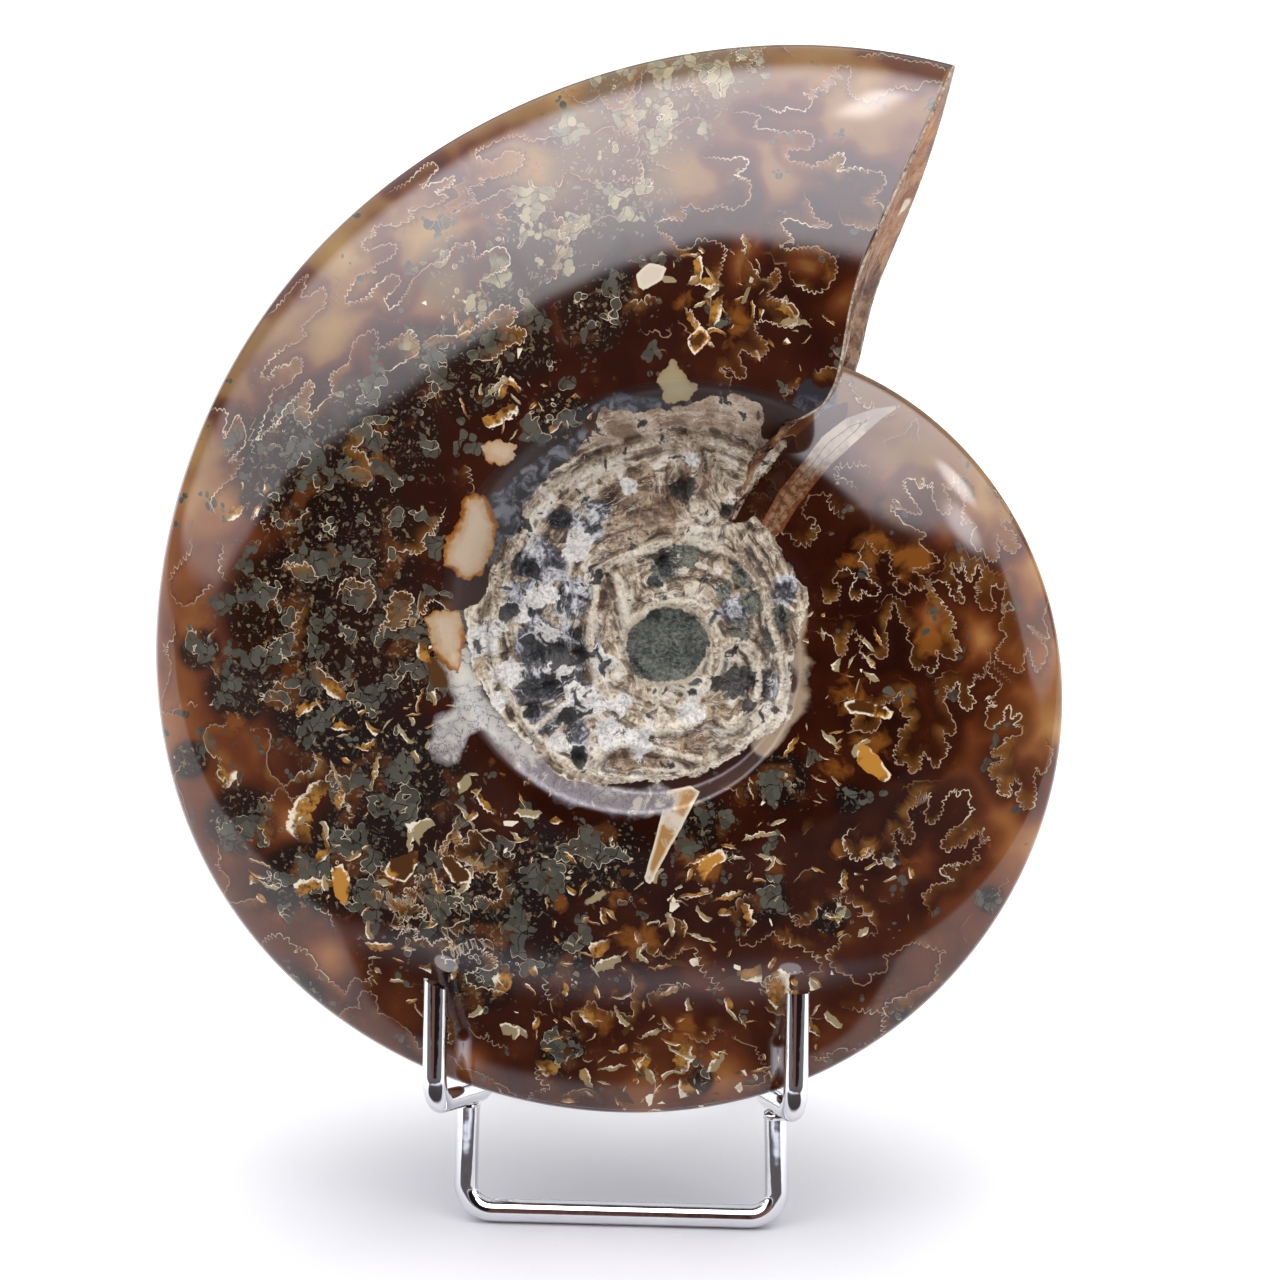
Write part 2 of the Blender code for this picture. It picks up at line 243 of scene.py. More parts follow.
# %% From the shell's frame to the picture
lean = math.radians(LEAN_DEG)
LEANING = np.array(
    [
        [1.0, 0.0, 0.0],
        [0.0, math.sin(lean), -math.cos(lean)],
        [0.0, math.cos(lean), math.sin(lean)],
    ]
)
upright = points @ LEANING.T
low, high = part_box("ammonite")
umbilicus = np.array(low + high) / 2.0 - (upright.min(0) + upright.max(0)) / 2.0
print("umbilicus at", (1000.0 * umbilicus).round(2), "mm")

CAMERA_AZIMUTH = math.radians(3.5)
CAMERA_ELEVATION = math.radians(18.0)
CAMERA_DISTANCE = 0.8
PIXELS_PER_MM = 6.1
PICTURE = 1280.0
aim = umbilicus + np.array([-30.0 / PIXELS_PER_MM * 0.001, 0.0, 0.0])
outward = np.array(
    [
        math.sin(CAMERA_AZIMUTH) * math.cos(CAMERA_ELEVATION),
        -math.cos(CAMERA_AZIMUTH) * math.cos(CAMERA_ELEVATION),
        math.sin(CAMERA_ELEVATION),
    ]
)
eye = aim + CAMERA_DISTANCE * outward
rightward = np.array([math.cos(CAMERA_AZIMUTH), math.sin(CAMERA_AZIMUTH), 0.0])
upward = np.cross(rightward, -outward)
focal_pixels = PIXELS_PER_MM * 1000.0 * CAMERA_DISTANCE


def in_picture(spots):
    """Pixel columns and rows, counted from the picture's top left, of points in the shell's frame."""
    seen = spots @ LEANING.T + umbilicus - eye
    distance = seen @ -outward
    across = PICTURE / 2.0 + focal_pixels * (seen @ rightward) / distance
    down = PICTURE / 2.0 - focal_pixels * (seen @ upward) / distance
    return across, down


# %% The camera itself
camera_data = bpy.data.cameras.new("camera")
camera_data.sensor_width = 36.0
camera_data.lens = focal_pixels / PICTURE * 36.0
camera_data.clip_start = 0.05
camera = bpy.data.objects.new("camera", camera_data)
bpy.context.scene.collection.objects.link(camera)
camera.location = Vector(eye)
camera.rotation_euler = Vector(-outward).to_track_quat("-Z", "Y").to_euler()
bpy.context.scene.camera = camera
print("lens", round(camera_data.lens, 1), "mm")

# %% [markdown]
# ## Marks placed one by one
# Each mark is a shape in the picture: a round patch, or an outline of a few corners. What is kept
# on the shell is the distance to its edge, in millimetres, because a distance stays sharp when the
# material cuts it, while a plain yes or no would blur between two points of the mesh. The back
# face, which the picture doesn't show, takes the same marks turned round the coil.

# %% Distances to patches and outlines
BACK_TURN = math.radians(140.0)
facing = points.copy()
facing[:, 2] = np.abs(facing[:, 2])
turned = facing.copy()
turned[:, 0] = facing[:, 0] * math.cos(BACK_TURN) - facing[:, 1] * math.sin(BACK_TURN)
turned[:, 1] = facing[:, 0] * math.sin(BACK_TURN) + facing[:, 1] * math.cos(BACK_TURN)
marked = np.where((side[:, None] > 0.0) & ~in_mouth[:, None], facing, turned)
pixel_x, pixel_y = in_picture(np.where(in_mouth[:, None], points, marked))


def patches(spots):
    """A soft share of 1 in the middle of round patches, given as column, row and radius in pixels."""
    total = np.zeros(count)
    for x, y, reach in spots:
        total = np.maximum(total, np.exp(-((pixel_x - x) ** 2 + (pixel_y - y) ** 2) / reach**2))
    return total


def outside(corners):
    """Distance in millimetres outside an outline; it is negative inside."""
    corners = np.array(corners, float)
    nearest = np.full(count, 1e9)
    crossings = np.zeros(count, int)
    for (x0, y0), (x1, y1) in zip(corners, np.roll(corners, -1, axis=0)):
        edge = np.array([x1 - x0, y1 - y0])
        along = np.clip(((pixel_x - x0) * edge[0] + (pixel_y - y0) * edge[1]) / (edge @ edge), 0.0, 1.0)
        gap = np.hypot(pixel_x - x0 - along * edge[0], pixel_y - y0 - along * edge[1])
        nearest = np.minimum(nearest, gap)
        if y0 != y1:
            spans = (pixel_y < y0) != (pixel_y < y1)
            crossings += spans & (pixel_x < x0 + (pixel_y - y0) * (x1 - x0) / (y1 - y0))
    return nearest / PIXELS_PER_MM * np.where(crossings % 2 == 1, -1.0, 1.0)


# %% The hollow in the middle and the pale pieces around it
HOLLOW = (
    (576, 457), (602, 413), (635, 414), (680, 407), (722, 395), (760, 404), (759, 438), (781, 445),
    (754, 483), (727, 520), (736, 524), (752, 518), (778, 542), (781, 562), (805, 595), (806, 605),
    (793, 647), (787, 718), (752, 741), (696, 776), (664, 776), (605, 782), (564, 775), (545, 758),
    (520, 735), (500, 712), (486, 690), (474, 665), (468, 640), (466, 612), (485, 600), (492, 585),
    (497, 565), (505, 545), (520, 532), (521, 515), (530, 500), (548, 480),
)
POCKETS = (
    (
        (462, 492), (486, 495), (495, 515), (498, 540), (480, 575), (466, 580), (445, 566), (442, 545),
        (455, 520),
    ),
    ((424, 618), (436, 608), (458, 612), (465, 640), (461, 678), (448, 670), (434, 648)),
    ((482, 446), (495, 440), (516, 445), (514, 460), (500, 468), (485, 462)),
    ((658, 380), (672, 360), (697, 385), (690, 404), (665, 404)),
)
SPLINTER = ((668, 790), (690, 785), (700, 792), (684, 822), (650, 884), (644, 880), (655, 840))
STRIP = (
    (757, 530), (770, 508), (780, 491), (803, 462), (822, 437), (846, 418), (872, 409), (905, 404),
    (882, 418), (858, 440), (832, 464), (816, 482), (798, 505), (782, 532), (766, 540),
)
WEDGE = (
    (726, 518), (762, 478), (794, 438), (827, 408), (850, 400), (846, 420), (822, 440), (790, 484),
    (758, 528),
)
SHARDS = (
    ((382, 872), (392, 860), (418, 850), (418, 866), (405, 881), (387, 879)),
    ((440, 858), (453, 854), (458, 864), (471, 870), (471, 882), (455, 884), (451, 875)),
    ((693, 876), (703, 857), (721, 848), (728, 860), (713, 869), (701, 885)),
    ((858, 739), (876, 752), (893, 777), (885, 783), (864, 771), (857, 760)),
    ((843, 704), (867, 700), (895, 712), (891, 721), (864, 714), (849, 713)),
    ((687, 338), (699, 325), (714, 335), (703, 347), (693, 357)),
    ((330, 870), (342, 862), (350, 880), (346, 905), (336, 900)),
)
FLAKE = ((636, 275), (648, 263), (667, 266), (662, 280), (648, 288), (640, 293))
hollow = outside(HOLLOW)
pocket = np.minimum.reduce([outside(shape) for shape in POCKETS])
splinter = np.minimum(outside(SPLINTER), outside(FLAKE))
gold_shard = np.minimum.reduce([outside(shape) for shape in SHARDS])
strip = outside(STRIP)
wedge = outside(WEDGE)
print("the hollow covers", int((hollow < 0.0).sum()), "points")

# %% Where each kind of filling shows
GREY_PATCHES = (
    (300, 470, 75), (350, 550, 85), (280, 610, 70), (390, 640, 75), (330, 700, 75), (400, 780, 70),
    (350, 860, 65), (440, 900, 65), (300, 880, 45), (500, 900, 60), (240, 690, 40), (540, 870, 50),
    (590, 320, 38), (615, 290, 30), (520, 340, 45), (460, 370, 50), (390, 430, 60), (610, 860, 45),
    (700, 820, 32), (780, 780, 34), (850, 800, 18), (240, 820, 40), (200, 650, 25), (480, 970, 45),
    (560, 960, 30), (830, 920, 20), (560, 420, 35), (770, 900, 22), (300, 1000, 30), (560, 1050, 25),
    (190, 760, 22), (260, 500, 25), (700, 1080, 16), (900, 1010, 16), (990, 900, 16),
)
SHARD_PATCHES = (
    (700, 900, 75), (620, 930, 80), (540, 830, 45), (640, 1040, 90), (540, 1020, 60), (760, 850, 50),
    (840, 730, 50), (855, 665, 40), (800, 620, 25), (720, 300, 50), (780, 330, 35), (690, 270, 40),
    (600, 420, 45), (440, 860, 55), (330, 850, 50), (500, 400, 45), (240, 500, 30), (460, 320, 25),
    (870, 900, 40), (400, 950, 50), (740, 1050, 60), (430, 720, 45), (350, 730, 45), (480, 830, 50),
    (800, 1000, 40), (260, 880, 25), (440, 640, 25),
)
OLIVE_PATCHES = (
    (600, 180, 55), (660, 110, 55), (700, 80, 45), (560, 250, 45), (490, 300, 45), (620, 100, 40),
    (450, 270, 35), (640, 200, 40), (570, 140, 30), (520, 215, 40), (620, 150, 45), (740, 70, 30),
    (590, 225, 35), (470, 330, 30), (350, 400, 25), (300, 430, 25), (420, 350, 22),
)
HONEY_PATCHES = (
    (330, 330, 40), (440, 290, 38), (350, 255, 30), (690, 185, 45), (210, 500, 28), (1000, 500, 40),
    (1045, 560, 28), (985, 640, 20), (930, 620, 22), (850, 80, 30), (430, 240, 35), (530, 170, 30),
    (190, 450, 25), (860, 350, 22), (640, 1100, 30), (440, 385, 22), (780, 175, 30), (560, 330, 20),
    (845, 300, 26), (290, 820, 24), (370, 800, 22), (330, 960, 22), (470, 1060, 20), (720, 1080, 28),
    (1060, 740, 26), (1040, 850, 30), (738, 265, 28), (800, 262, 25), (560, 90, 22), (1030, 440, 32),
    (1070, 650, 36), (1075, 560, 30),
)
GLOW_PATCHES = (
    (870, 745, 20), (855, 700, 18), (845, 770, 14), (385, 465, 24), (735, 320, 22), (300, 870, 14),
    (690, 300, 16), (390, 880, 16), (445, 860, 16), (560, 800, 12), (640, 940, 24), (705, 870, 20),
    (600, 1020, 24), (690, 1040, 20), (870, 545, 26), (915, 560, 24), (760, 560, 12), (840, 850, 16),
    (930, 640, 26), (900, 700, 14), (230, 720, 18), (500, 940, 16), (560, 905, 12), (780, 930, 20),
    (937, 130, 18), (930, 170, 18), (330, 560, 20), (620, 890, 20),
)
WHITE_PATCHES = (
    (576, 547, 19), (550, 596, 14), (547, 636, 15), (561, 668, 16), (573, 694, 14), (570, 707, 15),
    (598, 702, 13), (628, 486, 10), (693, 459, 9), (640, 740, 20), (608, 735, 18), (665, 790, 10),
    (905, 206, 9), (500, 700, 14), (488, 640, 22), (506, 672, 18), (536, 600, 14), (600, 660, 14),
    (560, 742, 14), (690, 712, 14), (520, 615, 12), (620, 705, 14),
)
COLD_PATCHES = (
    (545, 560, 22), (530, 600, 24), (540, 645, 28), (570, 600, 20), (565, 680, 26), (530, 690, 20),
    (580, 640, 18), (545, 720, 18), (520, 565, 14), (590, 530, 14), (785, 590, 14), (765, 685, 16),
    (575, 735, 16), (560, 520, 14), (735, 610, 14), (600, 510, 12),
)
BROWN_PATCHES = (
    (620, 500, 22), (655, 515, 24), (640, 480, 18), (695, 480, 22), (620, 540, 16), (690, 745, 20),
    (650, 748, 18), (620, 758, 14), (720, 715, 14), (740, 560, 14), (600, 600, 12), (670, 500, 18),
    (610, 560, 12),
)
GREEN_PATCHES = (
    (665, 562, 18), (690, 555, 12), (755, 600, 14), (740, 630, 12), (745, 575, 12), (770, 640, 12),
    (725, 590, 10), (776, 622, 15),
)
grey = patches(GREY_PATCHES)
shards = patches(SHARD_PATCHES)
olive = patches(OLIVE_PATCHES)
honey = patches(HONEY_PATCHES)
glowing = patches(GLOW_PATCHES)
white = patches(WHITE_PATCHES)
cold = patches(COLD_PATCHES)
brown = patches(BROWN_PATCHES)
green = patches(GREEN_PATCHES)

# %% [markdown]
# ## The suture lines
# Inside the shell thin walls divided it into chambers. Where a wall met the outer skin it was
# frilled like a leaf, and polishing the skin away has laid these frills bare as pale lines. The
# plainest of them are drawn on enlarged parts of the picture. On the flank each runs from
# the outer edge inward, so that the side towards the mouth is always on the same hand.

# %% Lines drawn on the picture
DRAWN_LINES = (
    (820, 460, 6.53, (
        (1140, 200), (1200, 290), (1245, 370), (1250, 400), (1180, 395), (1200, 440), (1275, 480),
        (1265, 520), (1305, 555), (1280, 595), (1235, 600), (1190, 550), (1150, 490), (1165, 560),
        (1160, 645), (1100, 655), (1070, 580), (1020, 600), (985, 500), (1020, 440), (975, 400),
        (930, 420), (935, 330), (960, 190), (925, 250), (880, 120), (850, 190), (805, 140), (815, 200),
        (850, 270), (850, 340), (800, 350), (755, 300), (735, 230), (735, 150), (700, 180), (670, 125),
        (665, 190), (620, 140), (575, 110), (550, 165), (600, 250), (660, 330), (640, 355), (560, 330),
        (495, 268), (525, 320), (450, 300), (510, 370), (560, 420), (620, 450), (690, 490), (640, 540),
        (720, 600), (780, 660), (720, 680), (695, 710), (640, 700), (600, 720), (650, 750), (700, 790),
        (650, 860), (600, 805), (580, 870), (530, 870), (480, 820), (520, 760), (460, 740), (465, 620),
        (430, 590), (370, 615), (340, 560), (285, 540), (260, 650), (330, 720), (310, 770), (395, 840),
        (340, 895), (280, 850), (260, 910), (200, 895), (190, 840), (235, 790), (215, 740), (170, 710),
        (110, 740), (90, 790), (130, 830), (110, 910), (40, 930), (20, 880),
    )),
    (820, 460, 6.53, (
        (1480, 960), (1460, 1040), (1500, 1150), (1450, 1150), (1355, 1065), (1400, 1140), (1450, 1180),
        (1480, 1240), (1470, 1300), (1420, 1380), (1390, 1330), (1370, 1255), (1350, 1235), (1330, 1310),
        (1325, 1390), (1280, 1380), (1230, 1340), (1160, 1300), (1155, 1240), (1220, 1140), (1165, 1100),
        (1205, 1010), (1180, 980), (1260, 985), (1240, 930), (1190, 950), (1220, 805), (1180, 850),
        (1140, 810), (1110, 880), (1150, 950), (1100, 985), (1050, 960), (1015, 890), (1055, 850),
        (1010, 830), (1060, 750), (1025, 685), (990, 780), (960, 780), (930, 635), (915, 735), (855, 660),
        (870, 750), (930, 820), (890, 840), (940, 890), (930, 930), (860, 890), (835, 810), (760, 790),
        (720, 815), (790, 920), (850, 1000), (885, 1090), (840, 1110), (900, 1190), (925, 1245),
        (880, 1240), (890, 1300), (820, 1290), (760, 1245), (770, 1340), (720, 1385), (685, 1340),
        (630, 1370), (590, 1310), (605, 1220), (570, 1170), (580, 1100), (530, 1060), (510, 990),
        (475, 920), (455, 1040), (425, 1060), (440, 1180), (440, 1270), (400, 1300), (350, 1270),
        (300, 1300), (268, 1260), (260, 1150), (220, 1120), (180, 1160), (170, 1250), (140, 1280),
        (100, 1240), (80, 1150), (20, 1130),
    )),
    (820, 660, 6.53, (
        (1500, 565), (1520, 600), (1490, 700), (1450, 750), (1410, 705), (1400, 780), (1410, 870),
        (1390, 960), (1340, 975), (1300, 930), (1285, 870), (1310, 820), (1280, 780), (1245, 820),
        (1240, 880), (1200, 890), (1160, 850), (1170, 780), (1120, 770), (1110, 690), (1190, 670),
        (1185, 635), (1125, 625), (1130, 585), (1200, 560), (1210, 510), (1300, 490), (1330, 440),
        (1260, 430), (1310, 390), (1305, 340), (1250, 385), (1250, 305), (1205, 320), (1200, 400),
        (1160, 410), (1130, 450), (1080, 430), (1090, 380), (1090, 320), (1150, 290), (1080, 260),
        (1150, 220), (1185, 160), (1110, 90), (1090, 5), (1060, 120), (1015, 90), (1000, 165), (970, 170),
        (980, 230), (1015, 265), (970, 330), (930, 310), (905, 250), (915, 170), (885, 145), (860, 205),
        (810, 155), (830, 240), (800, 250), (820, 300), (860, 370), (885, 450), (870, 495), (800, 468),
        (810, 520), (855, 575), (825, 585), (825, 640), (790, 650), (770, 705), (730, 690), (710, 640),
        (680, 608), (660, 640), (655, 710), (590, 732), (575, 670), (510, 685), (485, 620), (500, 560),
        (530, 520), (510, 470), (560, 430), (590, 380), (530, 345), (540, 240), (510, 215), (470, 270),
        (410, 290), (400, 350), (400, 410), (340, 470), (250, 460), (210, 440), (230, 350), (240, 270),
        (200, 250), (155, 262),
    )),
    (820, 660, 6.53, (
        (680, 1560), (670, 1520), (720, 1510), (730, 1470), (870, 1445), (840, 1420), (790, 1390),
        (800, 1350), (860, 1340), (915, 1385), (890, 1330), (930, 1330), (1000, 1310), (1040, 1290),
        (1000, 1250), (1060, 1200), (1120, 1155), (1050, 1175), (1070, 1105), (1000, 1150), (960, 1180),
        (940, 1220), (880, 1215), (850, 1252), (800, 1230), (790, 1190), (830, 1160), (840, 1120),
        (900, 1080), (960, 1040), (980, 990), (1025, 980), (970, 950), (985, 880), (940, 840), (895, 895),
        (880, 835), (830, 895), (805, 920), (800, 980), (760, 1050), (705, 1065), (685, 1000), (710, 940),
        (715, 865), (680, 895), (665, 930), (645, 860), (625, 950), (590, 970), (560, 1000), (600, 1060),
        (570, 1080), (610, 1110), (600, 1190), (550, 1190), (530, 1130), (490, 1100), (475, 1160),
        (490, 1200), (520, 1270), (480, 1250), (470, 1310), (430, 1290), (390, 1332), (350, 1290),
        (345, 1230), (310, 1222), (280, 1290), (210, 1302), (190, 1250), (145, 1220), (160, 1150),
        (190, 1120),
    )),
    (540, 30, 2.904, (
        (590, 240), (640, 250), (620, 280), (680, 290), (700, 300), (730, 295), (780, 300), (797, 320),
        (780, 345), (715, 350), (735, 385), (765, 385), (795, 400), (815, 378), (840, 385), (850, 362),
        (892, 362), (865, 412), (920, 398), (945, 410), (985, 410), (1005, 445), (960, 490), (995, 510),
        (998, 550), (970, 578), (930, 575), (895, 563),
    )),
    (540, 30, 2.904, (
        (500, 370), (545, 375), (600, 370), (598, 400), (553, 432), (605, 435), (612, 470), (600, 500),
        (560, 522), (520, 508), (480, 527), (440, 510), (412, 518), (425, 550), (350, 550), (340, 585),
        (380, 600), (395, 632), (440, 628), (460, 608), (500, 612), (540, 635), (530, 675), (522, 715),
    )),
    (540, 30, 2.904, (
        (785, 508), (800, 545), (850, 572), (800, 572), (760, 560), (722, 545), (700, 572), (740, 602),
        (705, 620), (698, 640), (760, 632), (820, 635), (862, 680), (850, 730), (810, 762), (770, 755),
        (735, 728),
    )),
    (540, 30, 2.904, (
        (622, 690), (640, 720), (620, 735), (665, 720), (685, 690), (700, 720), (680, 748), (650, 778),
        (700, 785), (735, 800), (750, 830), (735, 862), (690, 858), (640, 843), (622, 870), (655, 905),
        (660, 935), (630, 948), (585, 930), (580, 960), (605, 1000), (575, 1012), (555, 985), (520, 982),
        (545, 1010),
    )),
    (540, 30, 2.904, (
        (940, 75), (1000, 70), (1060, 88), (1130, 95), (1180, 120), (1175, 150), (1120, 150), (1090, 175),
        (1040, 165), (990, 190), (950, 205), (905, 190), (895, 150), (905, 110), (850, 112), (880, 140),
        (835, 130), (860, 160), (820, 150), (840, 180), (790, 165), (810, 195), (762, 178), (790, 205),
        (765, 235), (720, 225), (700, 240), (660, 225),
    )),
    (140, 30, 3.267, (
        (1340, 350), (1270, 362), (1250, 345), (1200, 350), (1150, 370), (1130, 380), (1090, 405),
        (1150, 430), (1200, 398), (1250, 410), (1240, 450), (1180, 475), (1110, 490), (1125, 505),
        (1060, 520), (1095, 545), (1020, 590), (1090, 570), (1150, 545), (1180, 525), (1225, 520),
        (1222, 560), (1170, 600), (1210, 622),
    )),
    (140, 30, 3.267, (
        (830, 520), (870, 500), (900, 470), (945, 435), (975, 450), (915, 512), (960, 500), (1025, 480),
        (1010, 512), (960, 530), (1005, 545), (960, 572), (880, 590), (890, 615), (830, 640), (800, 635),
        (755, 650), (770, 670), (725, 690), (745, 722), (800, 700), (838, 705), (820, 745), (760, 772),
        (770, 790), (715, 800), (670, 892), (750, 870), (760, 850), (810, 805), (840, 800), (848, 830),
        (800, 880), (822, 912), (868, 862), (895, 812), (940, 770), (1000, 750), (1030, 700), (1070, 700),
        (1095, 690), (1090, 755), (1130, 725), (1190, 710), (1205, 770), (1150, 800), (1110, 822),
        (1120, 850),
    )),
    (140, 30, 3.267, (
        (440, 910), (470, 880), (500, 840), (550, 800), (528, 870), (570, 860), (600, 838), (600, 900),
        (530, 970), (540, 1000), (470, 1040), (435, 1070), (395, 1125), (435, 1140), (430, 1110),
        (475, 1095), (520, 1068), (527, 1110), (480, 1160), (430, 1180), (425, 1225), (380, 1345),
        (440, 1285), (455, 1290), (470, 1240), (520, 1190), (545, 1150), (567, 1160), (545, 1250),
        (590, 1230), (630, 1180), (620, 1130), (680, 1090), (700, 1020), (770, 980), (780, 1040),
        (850, 1000), (890, 985), (910, 1045), (870, 1080), (815, 1110),
    )),
    (140, 30, 3.267, (
        (250, 1240), (285, 1250), (270, 1340), (320, 1260), (345, 1345), (290, 1410), (340, 1400),
        (300, 1460), (240, 1520), (230, 1568),
    )),
    (140, 30, 3.267, (
        (960, 1000), (1040, 1000), (1072, 985), (1120, 950), (1160, 920), (1190, 898), (1232, 925),
        (1205, 970), (1255, 978), (1250, 1022), (1205, 1030), (1160, 1070), (1110, 1080),
    )),
    (380, 820, 8.711, (
        (0, 630), (90, 635), (130, 660), (190, 710), (240, 700), (250, 670), (205, 630), (230, 595),
        (280, 610), (335, 625), (320, 560), (305, 500), (330, 480), (390, 510), (430, 475), (480, 510),
        (530, 540), (550, 610), (590, 640), (630, 595), (680, 640), (720, 690), (730, 740), (780, 750),
        (825, 790), (840, 700), (860, 665), (930, 680), (990, 715), (1060, 670), (1050, 600), (980, 560),
        (1030, 500), (990, 450), (920, 465), (880, 450), (810, 430), (815, 390), (790, 360), (720, 355),
        (660, 310), (655, 250), (670, 215), (770, 212), (770, 180), (755, 120), (810, 88), (870, 110),
        (900, 160), (960, 180), (980, 230), (1010, 280),
    )),
    (380, 820, 8.711, (
        (130, 800), (60, 740), (45, 700), (80, 690), (150, 712), (195, 710), (210, 740), (300, 745),
        (380, 760), (408, 790), (385, 830), (320, 850), (210, 848), (190, 880), (235, 905), (160, 935),
    )),
    (380, 820, 8.711, (
        (190, 990), (240, 965), (310, 945), (335, 980), (290, 1030), (330, 1050), (400, 1025), (430, 1080),
        (450, 1098), (480, 1060), (550, 1035), (610, 1030), (625, 1070), (580, 1120), (535, 1150),
        (550, 1190), (520, 1210), (560, 1240), (600, 1200),
    )),
    (380, 820, 8.711, (
        (620, 1210), (655, 1225), (685, 1180), (710, 1150), (750, 1185), (790, 1130), (830, 1100),
        (870, 1130), (910, 1120), (905, 1160), (960, 1180), (1020, 1190), (990, 1230), (1030, 1280),
        (960, 1305), (850, 1290), (830, 1330), (770, 1325), (735, 1370), (780, 1430), (850, 1460),
        (910, 1460), (980, 1480), (1040, 1500),
    )),
    (380, 820, 8.711, ((640, 1140), (700, 1085), (780, 1055), (860, 1045), (930, 1050))),
    (380, 820, 8.711, ((575, 945), (640, 930), (690, 890), (740, 865))),
    (380, 820, 8.711, ((525, 255), (560, 190), (610, 110), (665, 5))),
    (230, 500, 6.533, ((350, 425), (400, 402), (440, 435), (490, 408), (530, 440), (550, 480))),
    (230, 500, 6.533, (
        (715, 590), (730, 540), (795, 505), (850, 545), (900, 525), (935, 570), (945, 650), (905, 710),
    )),
    (230, 500, 6.533, (
        (960, 890), (1000, 800), (1035, 790), (1020, 740), (1010, 700), (1050, 680), (1050, 640),
        (1080, 600), (1130, 600), (1190, 620), (1195, 670), (1165, 710), (1190, 750), (1120, 790),
        (1150, 810), (1080, 850), (1040, 840),
    )),
    (230, 500, 6.533, (
        (1390, 105), (1365, 150), (1335, 185), (1330, 240), (1285, 215), (1255, 260), (1275, 310),
        (1250, 350), (1210, 340), (1200, 365), (1160, 330), (1120, 330),
    )),
    (230, 500, 6.533, (
        (1410, 700), (1370, 665), (1320, 655), (1275, 690), (1280, 740), (1240, 740), (1215, 790),
    )),
    (230, 500, 6.533, ((585, 1100), (630, 1150), (695, 1180))),
)
CURVE_STEPS = 8


def smooth_curve(corners):
    """Points of a smooth curve through the corners."""
    ends = np.vstack([2.0 * corners[0] - corners[1], corners, 2.0 * corners[-1] - corners[-2]])
    t = np.linspace(0.0, 1.0, CURVE_STEPS, endpoint=False)[None, :, None]
    a, b, c, d = (ends[shift : len(ends) - 3 + shift][:, None, :] for shift in range(4))
    curve = b + 0.5 * t * (c - a + t * (2.0 * a - 5.0 * b + 4.0 * c - d + t * (3.0 * (b - c) + d - a)))
    return curve.reshape(-1, 2)


def drawn_distance(drawings, reach=60.0):
    """Millimetres to curves drawn on the picture, negative on their inner side, and the way along them."""
    spots, ways = [], []
    for left, top, enlarged, corners in drawings:
        curve = smooth_curve(np.array(corners, float) / enlarged + (left, top))
        spots.append(curve)
        ways.append(np.gradient(curve, axis=0))
    spots, ways = np.concatenate(spots), np.concatenate(ways)
    tree = kdtree.KDTree(len(spots))
    for index, spot in enumerate(spots):
        tree.insert((*spot, 0.0), index)
    tree.balance()
    signed = np.full(count, reach / PIXELS_PER_MM)
    way_along = np.zeros(count)
    travelled = np.cumsum(np.linalg.norm(np.diff(spots, axis=0, prepend=spots[:1]), axis=1)) / PIXELS_PER_MM
    for index in np.nonzero(~in_mouth)[0]:
        _, found, gap = tree.find((pixel_x[index], pixel_y[index], 0.0))
        offset = (pixel_x[index] - spots[found][0], pixel_y[index] - spots[found][1])
        hand = 1.0 if offset[0] * ways[found][1] - offset[1] * ways[found][0] >= 0.0 else -1.0
        signed[index] = hand * min(gap, reach) / PIXELS_PER_MM
        way_along[index] = travelled[found]
    return signed, way_along


drawn, along_drawn = drawn_distance(DRAWN_LINES)
print("points within a millimetre of a drawn line:", int((abs(drawn) < 1.0).sum()))

# %% [markdown]
# Elsewhere, and over most of the back, the lines are lost among the other fillings. One line is made
# here as a curve: a wave of wide-headed folds, drawn in the logarithm of the radius, where every
# chamber has the same shape, and repeated around the coil. The material adds the small scallops,
# so the way along the line is kept with the distance to it.

# %% One frilled line
FOLDS = 4.6
FOLD_REACH = 0.095
FOLD_BULB = 0.034
FRILL_LENGTH = 0.11
FRILL_REACH = 0.03
chance = np.random.default_rng(7)


def sideways(x, y):
    """Unit vectors across a curve, pointing to its mouth side, and the length run so far."""
    dx, dy = np.gradient(x), np.gradient(y)
    length = np.maximum(np.hypot(dx, dy), 1e-9)
    return dy / length, -dx / length, np.cumsum(length)


def frilled_line(inner, outer):
    """A curve from the umbilical shoulder to the keel, as (forward turn, log radius)."""
    run = np.linspace(0.0, 1.0, 2200)
    tilt, bend, start, skew = chance.uniform(-0.03, 0.03), *chance.uniform(0.0, 6.28, 3)
    uneven_run = run + 0.03 * np.sin(2.0 * np.pi * run + bend)
    phase = 2.0 * np.pi * FOLDS * uneven_run + 2.2 + chance.uniform(-0.3, 0.3)
    size = 0.8 + 0.3 * run
    folds = np.cos(phase) + 0.16 * np.sin(2.0 * phase + skew)
    x = FOLD_REACH * size * folds + tilt * run
    y = inner + (outer - inner) * run + FOLD_BULB * size * np.sin(2.0 * phase)
    across_x, across_y, length = sideways(x, y)
    uneven = length / FRILL_LENGTH + 0.3 * np.sin(length / 0.09 + start) + 0.2 * np.sin(length / 0.037 + bend)
    frill = FRILL_REACH * (np.abs(np.sin(np.pi * uneven)) ** 0.75 - 0.6)
    return x + across_x * frill, y + across_y * frill


